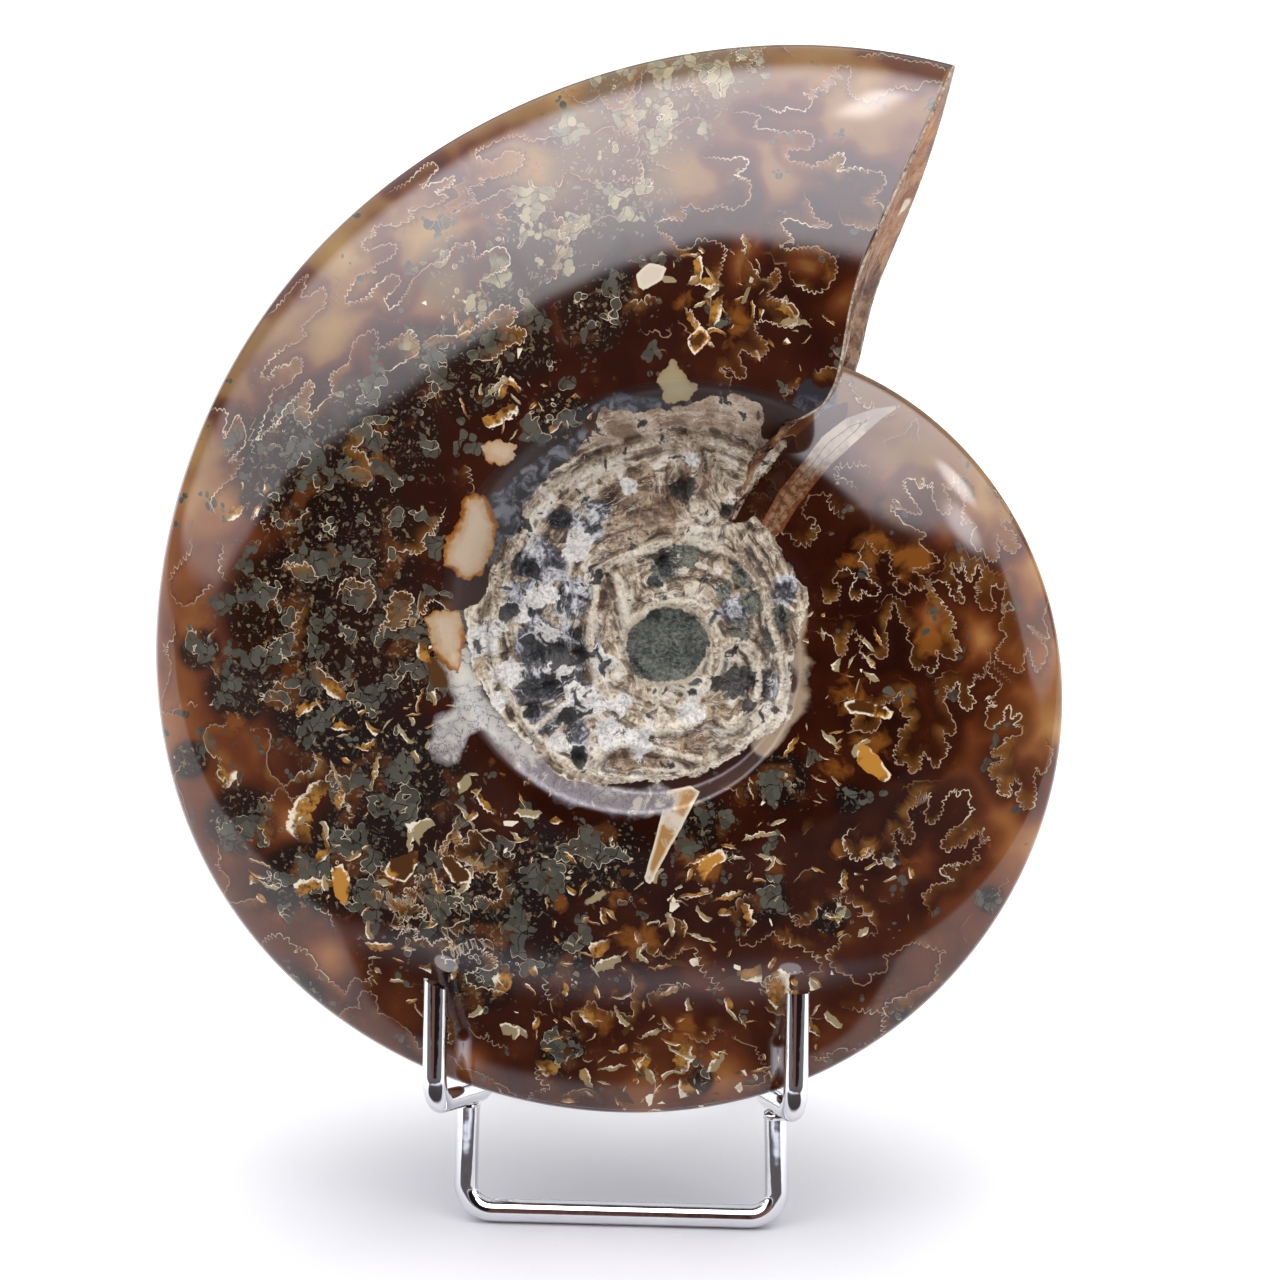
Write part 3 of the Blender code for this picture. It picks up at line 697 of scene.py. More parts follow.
# %% Repeated around the coil
FIRST_LINE_DEG = 3.0
LINE_STEP_DEG = 10.6
LINE_STEP_GROWTH = 6.8
lines = []
for face in (1.0, -1.0):
    place = FIRST_LINE_DEG if face > 0.0 else FIRST_LINE_DEG + 5.0
    number = 0
    while place < 372.0:
        here = np.array([place])
        inner = math.log(float(shoulder_radius(here)[1][0]) * 0.97)
        outer = math.log(float(keel_radius(here)[0]))
        x, y = frilled_line(inner, outer)
        lines.append((face, number, place - np.degrees(x), y))
        place += LINE_STEP_DEG + LINE_STEP_GROWTH * place / 360.0
        number += 1
print(len(lines), "suture lines on both faces")


# %% Distance from every point of the skin to the nearest line
def skin_point(turn_deg, log_radius, face):
    distance = np.minimum(np.exp(log_radius), keel_radius(turn_deg) * 0.9995)
    return on_shell(distance, turn_deg, face)


def line_distances(parity):
    """Signed distance in millimetres to the lines of one parity, and the way along them."""
    chosen = [line for line in lines if line[1] % 2 == parity]
    spots, aside, along = [], [], []
    for face, _, turn_deg, log_radius in chosen:
        over_x, over_y, _ = sideways(-np.radians(turn_deg), log_radius)
        spot = skin_point(turn_deg, log_radius, face)
        moved = skin_point(turn_deg - np.degrees(over_x * 0.002), log_radius + over_y * 0.002, face)
        spots.append(spot)
        aside.append(moved - spot)
        steps = np.linalg.norm(np.diff(spot, axis=0, prepend=spot[:1]), axis=1)
        along.append(1000.0 * np.cumsum(steps))
    spots, aside, along = np.concatenate(spots), np.concatenate(aside), np.concatenate(along)
    tree = kdtree.KDTree(len(spots))
    for index, spot in enumerate(spots):
        tree.insert(spot, index)
    tree.balance()
    signed = np.full(count, 9.0)
    way_along = np.zeros(count)
    for index in np.nonzero(on_flank)[0]:
        _, found, gap = tree.find(points[index])
        way = 1.0 if (points[index] - spots[found]) @ aside[found] >= 0.0 else -1.0
        signed[index] = way * min(1000.0 * gap, 9.0)
        way_along[index] = along[found]
    return signed, way_along


on_flank = (radius > shoulder_radius(back_deg)[1] * 0.9) & ~in_mouth & (radius > 0.024)
even_lines, along_even = line_distances(0)
odd_lines, along_odd = line_distances(1)
apart = eased(5.0, 8.0, np.abs(drawn))
farthest = float(np.minimum(abs(even_lines), abs(odd_lines))[on_flank].max())
print("the nearest line is at most", round(farthest, 1), "mm away")

# %% [markdown]
# ## Relief in the hollow
# Polishing reached the flanks alone. The hollow keeps the broken walls of the older turns: ridges
# along the seam, pits, and a flat round plug of grey stone in the middle.

# %% Ridges drawn on the picture
RIDGES = (
    (420, 370, 2.222, (
        (760, 200), (700, 172), (640, 155), (560, 153), (500, 165), (430, 188), (370, 218), (300, 262),
        (250, 312), (215, 380), (190, 440), (165, 520), (163, 600), (180, 680), (210, 742), (250, 800),
        (310, 868), (380, 902), (450, 915), (540, 915), (600, 903), (680, 878), (740, 828), (790, 768),
        (806, 700), (800, 620), (780, 560), (760, 490), (720, 420), (690, 350),
    )),
    (420, 370, 2.222, (
        (730, 440), (700, 415), (640, 388), (560, 383), (500, 398), (440, 420), (400, 452), (388, 520),
        (378, 600), (395, 680), (430, 742), (500, 788), (570, 795), (650, 772), (690, 790), (740, 740),
    )),
    (420, 370, 2.222, (
        (440, 460), (455, 530), (470, 580), (500, 540), (560, 522), (620, 530), (652, 580), (660, 640),
        (640, 690), (590, 702), (520, 682), (482, 640), (468, 590),
    )),
    (420, 370, 2.222, ((250, 800), (330, 740), (400, 720), (470, 745), (560, 780))),
    (420, 370, 2.222, ((380, 902), (400, 850), (470, 830), (560, 850), (650, 870))),
    (420, 370, 2.222, ((600, 160), (612, 210), (600, 270), (640, 330))),
    (420, 370, 2.222, ((660, 640), (700, 600), (745, 640), (748, 720), (700, 790))),
)
CRACKS = (
    (420, 370, 2.222, ((400, 92), (500, 102), (600, 140), (680, 148), (760, 168), (830, 148))),
    (420, 370, 2.222, ((752, 70), (752, 130), (764, 166))),
    (420, 370, 2.222, ((160, 380), (175, 470), (150, 560), (155, 640), (190, 760), (240, 850))),
    (420, 370, 2.222, ((700, 330), (760, 260), (830, 170))),
    (420, 370, 2.222, ((330, 925), (420, 945), (520, 950), (580, 930))),
)
PALE_BANDS = (
    (420, 370, 2.222, (
        (85, 640), (100, 700), (130, 755), (180, 805), (235, 855), (300, 900), (380, 935), (470, 958),
        (555, 950),
    )),
    (420, 370, 2.222, ((130, 760), (85, 800), (55, 835))),
)
TAN_BANDS = (
    (420, 370, 2.222, ((765, 830), (805, 775), (832, 730), (846, 680), (842, 600), (825, 540))),
)
SLATE_BANDS = (
    (420, 370, 2.222, ((365, 165), (300, 208), (245, 255), (210, 300), (188, 350), (170, 400))),
    (420, 370, 2.222, ((420, 78), (500, 84), (580, 86))),
    (420, 370, 2.222, ((855, 45), (890, 60), (915, 50))),
)
ridge_mm, crack_mm, pale_mm, tan_mm, slate_mm = (
    np.abs(drawn_distance(drawings)[0]) for drawings in (RIDGES, CRACKS, PALE_BANDS, TAN_BANDS, SLATE_BANDS)
)

# %% Ridges and pits
CENTRE_PLUG = 0.0062
BUMP_HEIGHT = 0.0011
RIDGE_HEIGHT = 0.0009
PLUG_DEPTH = 0.0011
PIT_DEPTH = 0.002
COLD_DEPTH = 0.0006
CRACK_DEPTH = 0.0005
reach_in = eased(0.4, -1.2, hollow)
bumps = np.zeros(count)
for index in np.nonzero(hollow < 1.0)[0]:
    spot = Vector(points[index])
    bumps[index] = noise.fractal(spot * 330.0, 0.8, 2.0, 5) + 0.8 * noise.noise(spot * 120.0)
centre_distance = np.hypot(points[:, 0], points[:, 1])
plug_angle = np.arctan2(points[:, 1], points[:, 0])
plug_waves = 0.0003 * np.sin(2.0 * plug_angle + 0.8) + 0.0002 * np.sin(5.0 * plug_angle)
plug_radius = CENTRE_PLUG + plug_waves + 0.0003 * bumps
plug = 1.0 - eased(-0.0005, 0.0005, centre_distance - plug_radius)
ridge = np.exp(-((ridge_mm / 0.9) ** 2))
PITS = (
    (738, 683, 20), (678, 489, 12), (578, 758, 7), (536, 652, 13), (557, 652, 13), (578, 656, 12),
    (531, 691, 11), (548, 688, 11), (531, 710, 9), (567, 718, 11), (509, 613, 9), (664, 560, 10),
    (725, 512, 7), (600, 575, 10), (530, 570, 9),
)
sunk = patches(PITS)
crack = np.exp(-((crack_mm / 0.5) ** 2))
raised = BUMP_HEIGHT * bumps * (1.0 - plug) + RIDGE_HEIGHT * ridge
lowered = PLUG_DEPTH * plug + PIT_DEPTH * sunk + COLD_DEPTH * cold + CRACK_DEPTH * crack
relief = raised - lowered
points[:, 2] += side * relief * reach_in

# %% Set the shell's points and close its seams
upright = points @ LEANING.T + umbilicus
ammonite.data.vertices.foreach_set("co", upright.ravel())


def keep(name, *values):
    """Stores up to three numbers for each point of the shell."""
    values = list(values) + [np.zeros(count)] * (3 - len(values))
    made = ammonite.data.attributes.new(name, "FLOAT_VECTOR", "POINT")
    made.data.foreach_set("vector", np.stack(values, axis=1).astype(np.float32).ravel())


behind_edge = (1.0 - across_mouth) * mouth_width
lip_arc = 1000.0 * np.where(in_mouth, -behind_edge, np.radians(back_deg) * radius)
shoulder = shoulder_radius(back_deg)[1]
rim = np.clip((radius - shoulder) / (keel_radius(back_deg) - shoulder), 0.0, 1.0)
keep("drawn_lines", drawn, np.abs(drawn), along_drawn)
keep("even_lines", even_lines, np.abs(even_lines), along_even)
keep("odd_lines", odd_lines, np.abs(odd_lines), along_odd)
keep("filling", grey, shards, olive)
keep("glow", honey, rim, lip_arc)
keep("stain", glowing, apart)
keep("bands", pale_mm, tan_mm, slate_mm)
keep("hollow", hollow, ridge_mm, crack_mm)
keep("crystals", white, cold, brown)
keep("relief", bumps, green)
keep("pieces", pocket, splinter, strip)
keep("gold", gold_shard)
keep("cuts", np.where(side > 0.0, wedge, 9.0), (centre_distance - plug_radius) * 1000.0, sunk)
bpy.ops.object.mode_set(mode="EDIT")
bpy.ops.mesh.select_all(action="SELECT")
bpy.ops.mesh.remove_doubles(threshold=0.000002)
bpy.ops.mesh.select_all(action="SELECT")
bpy.ops.mesh.normals_make_consistent(inside=False)
bpy.ops.object.mode_set(mode="OBJECT")
bpy.ops.object.shade_smooth()
print("shell:", len(ammonite.data.vertices), "points,", len(ammonite.data.polygons), "faces")

# %% [markdown]
# ## Painting with sums
# A material is easier to read as a sum than as a picture of boxes. A small class stands for one
# value on its way through the material, and adds the node that each sum needs.


# %% One value of a material
class Signal:
    """An output socket that can be added to, multiplied and compared like a number."""

    def __init__(self, socket):
        self.socket = socket

    @staticmethod
    def node(tree, kind, settings=(), sockets=(), output=0):
        """Adds a node: its settings first, then the values or links of its sockets."""
        made = tree.nodes.new(kind)
        for key, value in dict(settings).items():
            if key == "stops":
                while len(made.color_ramp.elements) < len(value):
                    made.color_ramp.elements.new(0.5)
                for stop, (place, colour) in zip(made.color_ramp.elements, value):
                    stop.position = place
                    stop.color = (*colour, 1.0)
            else:
                setattr(made, key, value)
        for key, value in dict(sockets).items():
            if isinstance(value, Signal):
                tree.links.new(value.socket, made.inputs[key])
            elif isinstance(value, tuple) and len(value) == 3 and made.inputs[key].type == "RGBA":
                made.inputs[key].default_value = (*value, 1.0)
            else:
                made.inputs[key].default_value = value
        return Signal(made.outputs[output])

    def sum(self, operation, *others):
        values = dict(enumerate((self, *others)))
        return Signal.node(self.socket.id_data, "ShaderNodeMath", {"operation": operation}, values)

    def other(self, output):
        return Signal(self.socket.node.outputs[output])

    def __add__(self, value):
        return self.sum("ADD", value)

    __radd__ = __add__

    def __mul__(self, value):
        return self.sum("MULTIPLY", value)

    __rmul__ = __mul__

    def __sub__(self, value):
        return self.sum("SUBTRACT", value)

    def __rsub__(self, value):
        return (self * -1.0) + value

    def __truediv__(self, value):
        return self.sum("DIVIDE", value)

    def __abs__(self):
        return self.sum("ABSOLUTE")

    def __pow__(self, value):
        return self.sum("POWER", value)

    def ramp(self, low, high, start=0.0, end=1.0):
        """An even step from start at low to end at high."""
        settings = {"interpolation_type": "SMOOTHSTEP"}
        sockets = {"Value": self, "From Min": low, "From Max": high, "To Min": start, "To Max": end}
        if low > high:
            sockets.update({"From Min": high, "From Max": low, "To Min": end, "To Max": start})
        return Signal.node(self.socket.id_data, "ShaderNodeMapRange", settings, sockets)


def blended(under, over, share):
    """Paints one colour over another."""
    tree = share.socket.id_data
    return Signal.node(tree, "ShaderNodeMix", {"data_type": "RGBA"}, {0: share, 6: under, 7: over}, 2)


def painted(under, *coats):
    """Paints coats over a colour, each given as its colour and the share of it that shows."""
    for colour, share in coats:
        under = blended(under, colour, share)
    return under


def stepped(value, *stops):
    """A colour looked up along a row of stops."""
    return Signal.node(value.socket.id_data, "ShaderNodeValToRGB", {"stops": stops}, {0: value})


def vector_sum(operation, first, second, output=0):
    tree = first.socket.id_data
    sockets = {0: first, 1: second}
    if operation == "SCALE":
        sockets = {0: first, 3: second}
    return Signal.node(tree, "ShaderNodeVectorMath", {"operation": operation}, sockets, output)


def parts(vector):
    split = Signal.node(vector.socket.id_data, "ShaderNodeSeparateXYZ", (), {0: vector})
    return split, split.other(1), split.other(2)


def stored(tree, name):
    """The numbers kept on the shell's points under a name."""
    found = Signal.node(tree, "ShaderNodeAttribute", {"attribute_name": name}, (), "Vector")
    return parts(found)


def mottle(vector, scale, detail=2.0, roughness=0.5, output=0, flat=True):
    """Soft noise, reckoned flat or in depth."""
    sockets = {"Vector": vector, "Scale": scale, "Detail": detail, "Roughness": roughness}
    settings = {"noise_dimensions": "2D" if flat else "3D"}
    return Signal.node(vector.socket.id_data, "ShaderNodeTexNoise", settings, sockets, output)


def cells(vector, scale, feature="F1", spread=1.0, output="Distance"):
    """A flat pattern of random cells."""
    sockets = {"Vector": vector, "Scale": scale, "Randomness": spread}
    settings = {"voronoi_dimensions": "2D", "feature": feature}
    return Signal.node(vector.socket.id_data, "ShaderNodeTexVoronoi", settings, sockets, output)


def new_finish(name):
    """An empty material and its Principled shader."""
    made = bpy.data.materials.new(name)
    made.use_nodes = True
    return made, made.node_tree, made.node_tree.nodes["Principled BSDF"]


def feed(shader, name, value):
    shader.id_data.links.new(value.socket, shader.inputs[name])


# %% [markdown]
# ## The polished stone
# Calcite filled the chambers: clear amber and brown where it is pure, near black where it is deep.
# Grey pyrite grew in it as rounded grains with dark gaps, and splinters of the inner walls lie in
# it as pale shards. All patterns are measured in millimetres of the shell's own frame. Those that
# look alike from every side are reckoned flat, on the disc, which renders faster.

# %% Places on the stone
FACES_APART = 170.0
stone, tree, stone_shader = new_finish("polished_ammonite_stone")
objects = Signal.node(tree, "ShaderNodeTexCoord", (), (), "Object")
place_sockets = {
    "Vector": objects,
    "Location": tuple(umbilicus),
    "Rotation": (math.radians(90.0 - LEAN_DEG), 0.0, 0.0),
    "Scale": (0.001, 0.001, 0.001),
}
place = Signal.node(tree, "ShaderNodeMapping", {"vector_type": "TEXTURE"}, place_sockets)
across_mm, up_mm, out_mm = parts(place)
flat_sockets = {0: across_mm + out_mm.sum("SIGN") * FACES_APART, 1: up_mm}
flat_place = Signal.node(tree, "ShaderNodeCombineXYZ", (), flat_sockets)


def bent_place(scale, reach, detail=1.0):
    """The flat place, pushed about by noise so that what is laid on it flows."""
    drift = vector_sum("SUBTRACT", mottle(flat_place, scale, detail, 0.5, "Color"), (0.5, 0.5, 0.5))
    return vector_sum("ADD", flat_place, vector_sum("SCALE", drift, reach))


curled = bent_place(0.42, 1.9, 0.0)
grey_share, shard_share, olive_share = stored(tree, "filling")
honey_share, rim_share, lip_mm = stored(tree, "glow")
glow_share, apart_share, _ = stored(tree, "stain")
pale_far, tan_far, slate_far = stored(tree, "bands")
pocket_mm, splinter_mm, strip_mm = stored(tree, "pieces")
wedge_mm, plug_mm, pit_share = stored(tree, "cuts")
drawn_mm, drawn_plain, drawn_along = stored(tree, "drawn_lines")
print("the stone's material reads", len(ammonite.data.attributes), "layers of the mesh")

# %% Noise that many patterns share, each centred on nothing
mid_one, mid_two, mid_three = (
    value - 0.5 for value in parts(mottle(flat_place, 0.11, 2.0, 0.55, "Color"))
)
fine_one, fine_two, fine_three = (
    value - 0.5 for value in parts(mottle(flat_place, 0.85, 2.0, 0.6, "Color"))
)
cloud = mottle(bent_place(0.2, 4.0), 0.1, 1.0) - 0.5
crumbs = mottle(curled, 0.24, 4.0, 0.6) - 0.5
edge_noise = mid_two * 1.5 + fine_one * 0.5

# %% Amber and brown calcite
CALCITE = (
    (0.05, (0.018, 0.0035, 0.0018)),
    (0.25, (0.042, 0.009, 0.003)),
    (0.42, (0.115, 0.03, 0.0085)),
    (0.6, (0.24, 0.085, 0.024)),
    (0.9, (0.48, 0.27, 0.085)),
)
OLIVE_CALCITE = (0.2, 0.13, 0.042)
FIERY_CALCITE = (0.25, 0.085, 0.013)
broad = mottle(place, 0.05, 2.0, 0.5, flat=False) - 0.5
# rim_light is painted light: the amber is made lighter towards the outer edge, least along the bottom.
rim_light = rim_share.ramp(0.25, 0.95) * (up_mm.ramp(-65.0, -10.0) * 0.26 + 0.16)
warmth = broad * 0.3 + cloud * 0.3 + rim_light + honey_share * 0.34 + 0.12
beside_line = drawn_plain.ramp(3.6, 0.8) * rim_share.ramp(0.1, 0.4)
warmth = warmth - grey_share * 0.08 - beside_line * 0.16 + mid_two * 0.16
olive_warmth = (warmth - 0.38).ramp(0.0, 0.2) * up_mm.ramp(12.0, 34.0)
fire = (glow_share + cloud * 1.2 + crumbs * 2.4 - 0.05).ramp(0.35, 1.1)
skin = painted(
    stepped(warmth, *CALCITE),
    (OLIVE_CALCITE, olive_warmth * 0.6),
    (FIERY_CALCITE, fire * 0.7),
)

# %% Pyrite grains as discs that run together, with dark seams
GRAINS_PER_MM = 0.66
LARGEST_DISC = 0.64
grain_middle = cells(bent_place(0.25, 1.2, 0.0), GRAINS_PER_MM, "F1", 0.85)
_, grain_shade, grain_tint = parts(grain_middle.other("Color"))
seam = cells(curled, 0.3, "DISTANCE_TO_EDGE", 1.0)
lobes = mottle(curled, 0.2, 1.0, 0.4)
grey_field = grey_share.sum("MAXIMUM", olive_share * 0.9)
disc_size = ((lobes - 0.665 + grey_field * 0.24 + mid_one * 0.3) * 5.0).sum("MINIMUM", LARGEST_DISC)
inside_disc = disc_size - grain_middle
grains = inside_disc.ramp(0.0, 0.03) * seam.ramp(0.012, 0.03)
crumb_middle = cells(curled, 1.5, "F1", 1.0)
crumb_pick, crumb_size, _ = parts(crumb_middle.other("Color"))
crumb_shown = (grey_field * 0.75 + mid_three * 1.1 - crumb_pick).ramp(0.12, 0.16)
crumbled = (crumb_size * 0.3 + 0.2 - crumb_middle).ramp(0.0, 0.06) * crumb_shown
grains = grains.sum("MAXIMUM", crumbled * 0.45)
hairs = abs(inside_disc + 0.07).ramp(0.06, 0.02) * disc_size.ramp(0.0, 0.1)
hairs = hairs * grey_field.ramp(0.25, 0.5) * mid_two.ramp(0.015, 0.06)

# %% The grains' colours, grey in most places and pale olive in the top flank
GREY_PYRITE = ((0.048, 0.047, 0.036), (0.09, 0.088, 0.068))
OLIVE_PYRITE = ((0.17, 0.16, 0.105), (0.34, 0.29, 0.17))
DARK_AND_LIT_GROUND = ((0.009, 0.005, 0.0035), (0.15, 0.045, 0.008))
OLIVE_GROUND = (0.075, 0.065, 0.05)
FLECK = (0.33, 0.25, 0.14)
HAIRLINE = (0.6, 0.52, 0.38)
olive_part = olive_share.ramp(0.2, 0.6) * (1.0 - grey_share.ramp(0.3, 0.7))
ground_light = fire.sum("MAXIMUM", mid_three.ramp(0.07, 0.2) * 0.55)
flecks = (fine_three - grey_share.ramp(0.6, 0.3)).ramp(0.12, 0.15)
grain_colour = blended(blended(*GREY_PYRITE, grain_shade), blended(*OLIVE_PYRITE, grain_tint), olive_part)
skin = painted(
    skin,
    (blended(*DARK_AND_LIT_GROUND, ground_light), grey_share.ramp(0.3, 0.62) * 0.86),
    (OLIVE_GROUND, olive_part * 0.5),
    (FLECK, flecks * 0.4),
    (grain_colour, grains),
    (HAIRLINE, hairs * 0.85),
)

# %% [markdown]
# A shard is a small curved splinter, white along one edge and gold behind it. Each cell of a
# random pattern holds at most one: its own middle and a random turn give the splinter its frame.

# %% Shards
DARK_TO_GOLD = ((0.07, 0.025, 0.006), (0.4, 0.19, 0.035))
DULL_SHARD = (0.3, 0.24, 0.13)
CREAM = (0.78, 0.7, 0.55)


def shard_layer(base, scale, seed, amount):
    """Paints one size of splinter over a colour."""
    shifted = vector_sum("ADD", flat_place, (seed, seed * 1.7, 0.0))
    middle = cells(shifted, scale, "F1", 1.0, "Position")
    pick, turn, length = parts(middle.other("Color"))
    offset_x, offset_y, _ = parts(vector_sum("SUBTRACT", shifted, middle))
    angle = turn * 6.283
    along = offset_x * angle.sum("COSINE") + offset_y * angle.sum("SINE")
    across = offset_y * angle.sum("COSINE") - offset_x * angle.sum("SINE")
    reach = (length * 0.4 + 0.13) / scale
    slim = (turn * 9.7).sum("FRACT") ** 2.5 * 0.5 + 0.1
    square = (pick * 7.3 + length * 3.1).sum("FRACT")
    bow = across + along * along * (0.5 * scale) * (square * 3.0 - 1.2) + fine_two * (0.16 / scale)
    far = abs(along) / reach
    wide = abs(bow) / (reach * slim) * (along / reach * (square - 0.5) * 1.2 + 1.0)
    body = 1.0 - (far + wide) * (1.0 - square) - far.sum("MAXIMUM", wide) * square
    shown = (shard_share * 1.22 + mid_two * 0.8 - pick * amount).ramp(0.1, 0.13)
    edge = (bow / (reach * slim) + fine_three * 0.8).ramp(0.25, 0.75)
    gold = blended(*DARK_TO_GOLD, far.ramp(1.0, 0.1) * fine_one.ramp(-0.3, 0.15))
    shard = painted(gold, (DULL_SHARD, (length * 5.3).sum("FRACT").ramp(0.5, 0.75)), (CREAM, edge))
    return blended(base, shard, body.ramp(0.0, 0.1) * shown)


for shards_per_mm, shift, rarity in ((0.085, 31.0, 0.9), (0.15, 57.0, 0.95), (0.27, 83.0, 1.0)):
    skin = shard_layer(skin, shards_per_mm, shift, rarity)

# %% Suture lines and the glow beside them
LINE = ((0.33, 0.215, 0.14), (0.62, 0.53, 0.39))
GLOW = ((0.1, 0.036, 0.008), (0.23, 0.1, 0.02))
LINE_SHADE = (0.03, 0.008, 0.004)
lines_shown = mid_three * 1.3 + rim_share.ramp(0.05, 0.45) * 0.32 + 0.04
fade = (lines_shown - grey_share * 0.5 - shard_share * 0.35).ramp(0.0, 0.12) * apart_share
line_colour = blended(*LINE, (mid_two + grey_share * 0.35).ramp(0.0, 0.16))
glow_colour = blended(*GLOW, mid_three.ramp(-0.1, 0.12))


def line_layer(base, signed, plain, amount):
    """Paints hairlines over a colour, with a glow on their inner side and shade on the other."""
    near = plain.ramp(1.8, 1.3)
    line = abs(signed).ramp(0.15, 0.03) * near
    inner_glow = signed.ramp(0.0, -0.12) * signed.ramp(-2.2, -0.05) * plain.ramp(3.0, 2.0)
    shade = signed.ramp(0.0, 0.12) * signed.ramp(1.4, 0.15) * near
    return painted(
        base,
        (glow_colour, inner_glow * amount * mid_one.ramp(-0.12, 0.1) * 0.75),
        (LINE_SHADE, shade * amount * 0.45),
        (line_colour, line * amount),
    )


def scallops(signed, along, pitch, reach):
    """Sets small frills along a line, rounded on its mouth side and sharp on the other."""
    wave = abs(((along + mid_one * 9.0 + fine_one * 0.8) * (math.pi / pitch)).sum("SINE"))
    return signed - (wave - 0.6) * reach


for name in ("even_lines", "odd_lines"):
    signed, plain, along = stored(tree, name)
    frilled = scallops(signed, along, 1.5, mid_two.ramp(-0.15, 0.15, 0.25, 0.95))
    skin = line_layer(skin, frilled, plain, fade * 0.8)
frilled = scallops(drawn_mm, drawn_along, 1.2, mid_three.ramp(-0.15, 0.15, 0.3, 0.6))
skin = line_layer(skin, frilled, drawn_plain, 1.0 - grey_share * 0.1)

# %% Golden shards and splinters drawn one by one
SHARD_GOLD = ((0.07, 0.025, 0.006), (0.46, 0.21, 0.035))
SHARD_RIM = (0.78, 0.68, 0.5)
SPLINTER_CORE = ((0.36, 0.19, 0.06), (0.6, 0.52, 0.42))
SPLINTER_RIM = (0.68, 0.6, 0.48)
gold_edge = stored(tree, "gold")[0] + edge_noise * 0.5 + crumbs * 1.6
gold_rim = gold_edge.ramp(-0.5, -0.2) * (fine_two + mid_three * 1.5).ramp(0.0, 0.14)
gold_colour = blended(blended(*SHARD_GOLD, (crumbs + mid_two * 1.4).ramp(-0.1, 0.08)), SHARD_RIM, gold_rim)
splinter_edge = splinter_mm + edge_noise * 0.3
splinter_pale = up_mm.ramp(0.0, 20.0).sum("MAXIMUM", crumbs.ramp(-0.06, 0.14))
splinter_colour = blended(
    blended(*SPLINTER_CORE, splinter_pale), SPLINTER_RIM, splinter_edge.ramp(-0.7, -0.1)
)

# %% Slate, pale and tan bands round the hollow
SLATE = ((0.022, 0.024, 0.03), (0.17, 0.175, 0.2))
PALE_SHELL = ((0.2, 0.175, 0.195), (0.46, 0.45, 0.43))
PALE_VEIN = (0.07, 0.06, 0.06)
PALE_FIELD = (0.6, 0.56, 0.46)
TAN_SHELL = (0.36, 0.27, 0.19)
band_noise = mid_two * 5.0 + mid_one * 4.0 + fine_one * 0.7
slate_colour = blended(*SLATE, mottle(curled, 0.4, 4.0, 0.65).ramp(0.42, 0.64) * up_mm.ramp(42.0, 38.0))
slate_edge = slate_far + band_noise + up_mm.ramp(38.0, 42.0) * 1.2
veined = abs(mottle(curled, 0.3, 4.0, 0.65) - 0.5)
pale_colour = painted(
    blended(*PALE_SHELL, (up_mm * 0.1 + band_noise * 0.5).ramp(-2.6, -1.4)),
    (PALE_VEIN, veined.ramp(0.03, 0.0) * 0.75),
    (PALE_FIELD, veined.ramp(0.09, 0.14) * 0.6),
)

# %% Pockets, and the wedge and strip of old shell at the mouth
POCKET = (
    (0.0, (0.22, 0.075, 0.012)),
    (0.16, (0.33, 0.13, 0.025)),
    (0.34, (0.42, 0.29, 0.16)),
    (0.9, (0.5, 0.385, 0.27)),
)
OLIVE_POCKET = (0.27, 0.235, 0.13)
WEDGE_DARK = (0.03, 0.009, 0.004)
STRIP_LOW = ((0.12, 0.05, 0.024), (0.29, 0.165, 0.09))
STRIP_HIGH = ((0.36, 0.3, 0.24), (0.56, 0.49, 0.4))
STRIP_RIM = (0.16, 0.045, 0.015)
STRIP_CRACK = (0.07, 0.03, 0.02)
pocket_edge = pocket_mm + edge_noise * 0.8 + fine_one * 0.9 + mid_three * 2.0
pocket_colour = stepped(pocket_edge * -0.42 + crumbs * 0.9 + mid_one * 1.2, *POCKET)
pocket_colour = blended(pocket_colour, OLIVE_POCKET, up_mm.ramp(34.0, 38.0) * 0.8)
strip_edge = strip_mm + edge_noise * 0.25
strip_tone = up_mm + fine_one * 8.0 + mid_three * 14.0
strip_colour = painted(
    blended(*STRIP_LOW, fine_two.ramp(-0.15, 0.15)),
    (blended(*STRIP_HIGH, (mid_one + fine_one * 0.3).ramp(-0.1, 0.1)), strip_tone.ramp(27.0, 33.0)),
    (STRIP_RIM, strip_edge.ramp(-0.9, -0.1) * strip_tone.ramp(31.0, 27.0) * 0.7),
    (STRIP_CRACK, abs(strip_mm + 1.3 + mid_two * 1.5).ramp(0.1, 0.04) * 0.7),
)

# %% All of them on the polished skin
skin = painted(
    skin,
    (gold_colour, gold_edge.ramp(0.06, -0.06)),
    (splinter_colour, splinter_edge.ramp(0.08, -0.08)),
    (slate_colour, slate_edge.ramp(3.2, 2.4)),
    (pale_colour, (pale_far + band_noise).ramp(3.0, 1.6) * 0.95),
    (TAN_SHELL, (tan_far + band_noise).ramp(2.4, 1.2) * 0.9),
    (pocket_colour, pocket_edge.ramp(0.1, -0.1)),
    (WEDGE_DARK, (wedge_mm + edge_noise * 0.2).ramp(0.1, -0.1) * 0.85),
    (strip_colour, strip_edge.ramp(0.1, -0.1)),
)
feed(stone_shader, "Base Color", skin)
feed(stone_shader, "Roughness", mid_one * 0.04 + 0.08 + rim_share.ramp(0.012, 0.0) * 0.3)
stone_shader.inputs["IOR"].default_value = 1.55

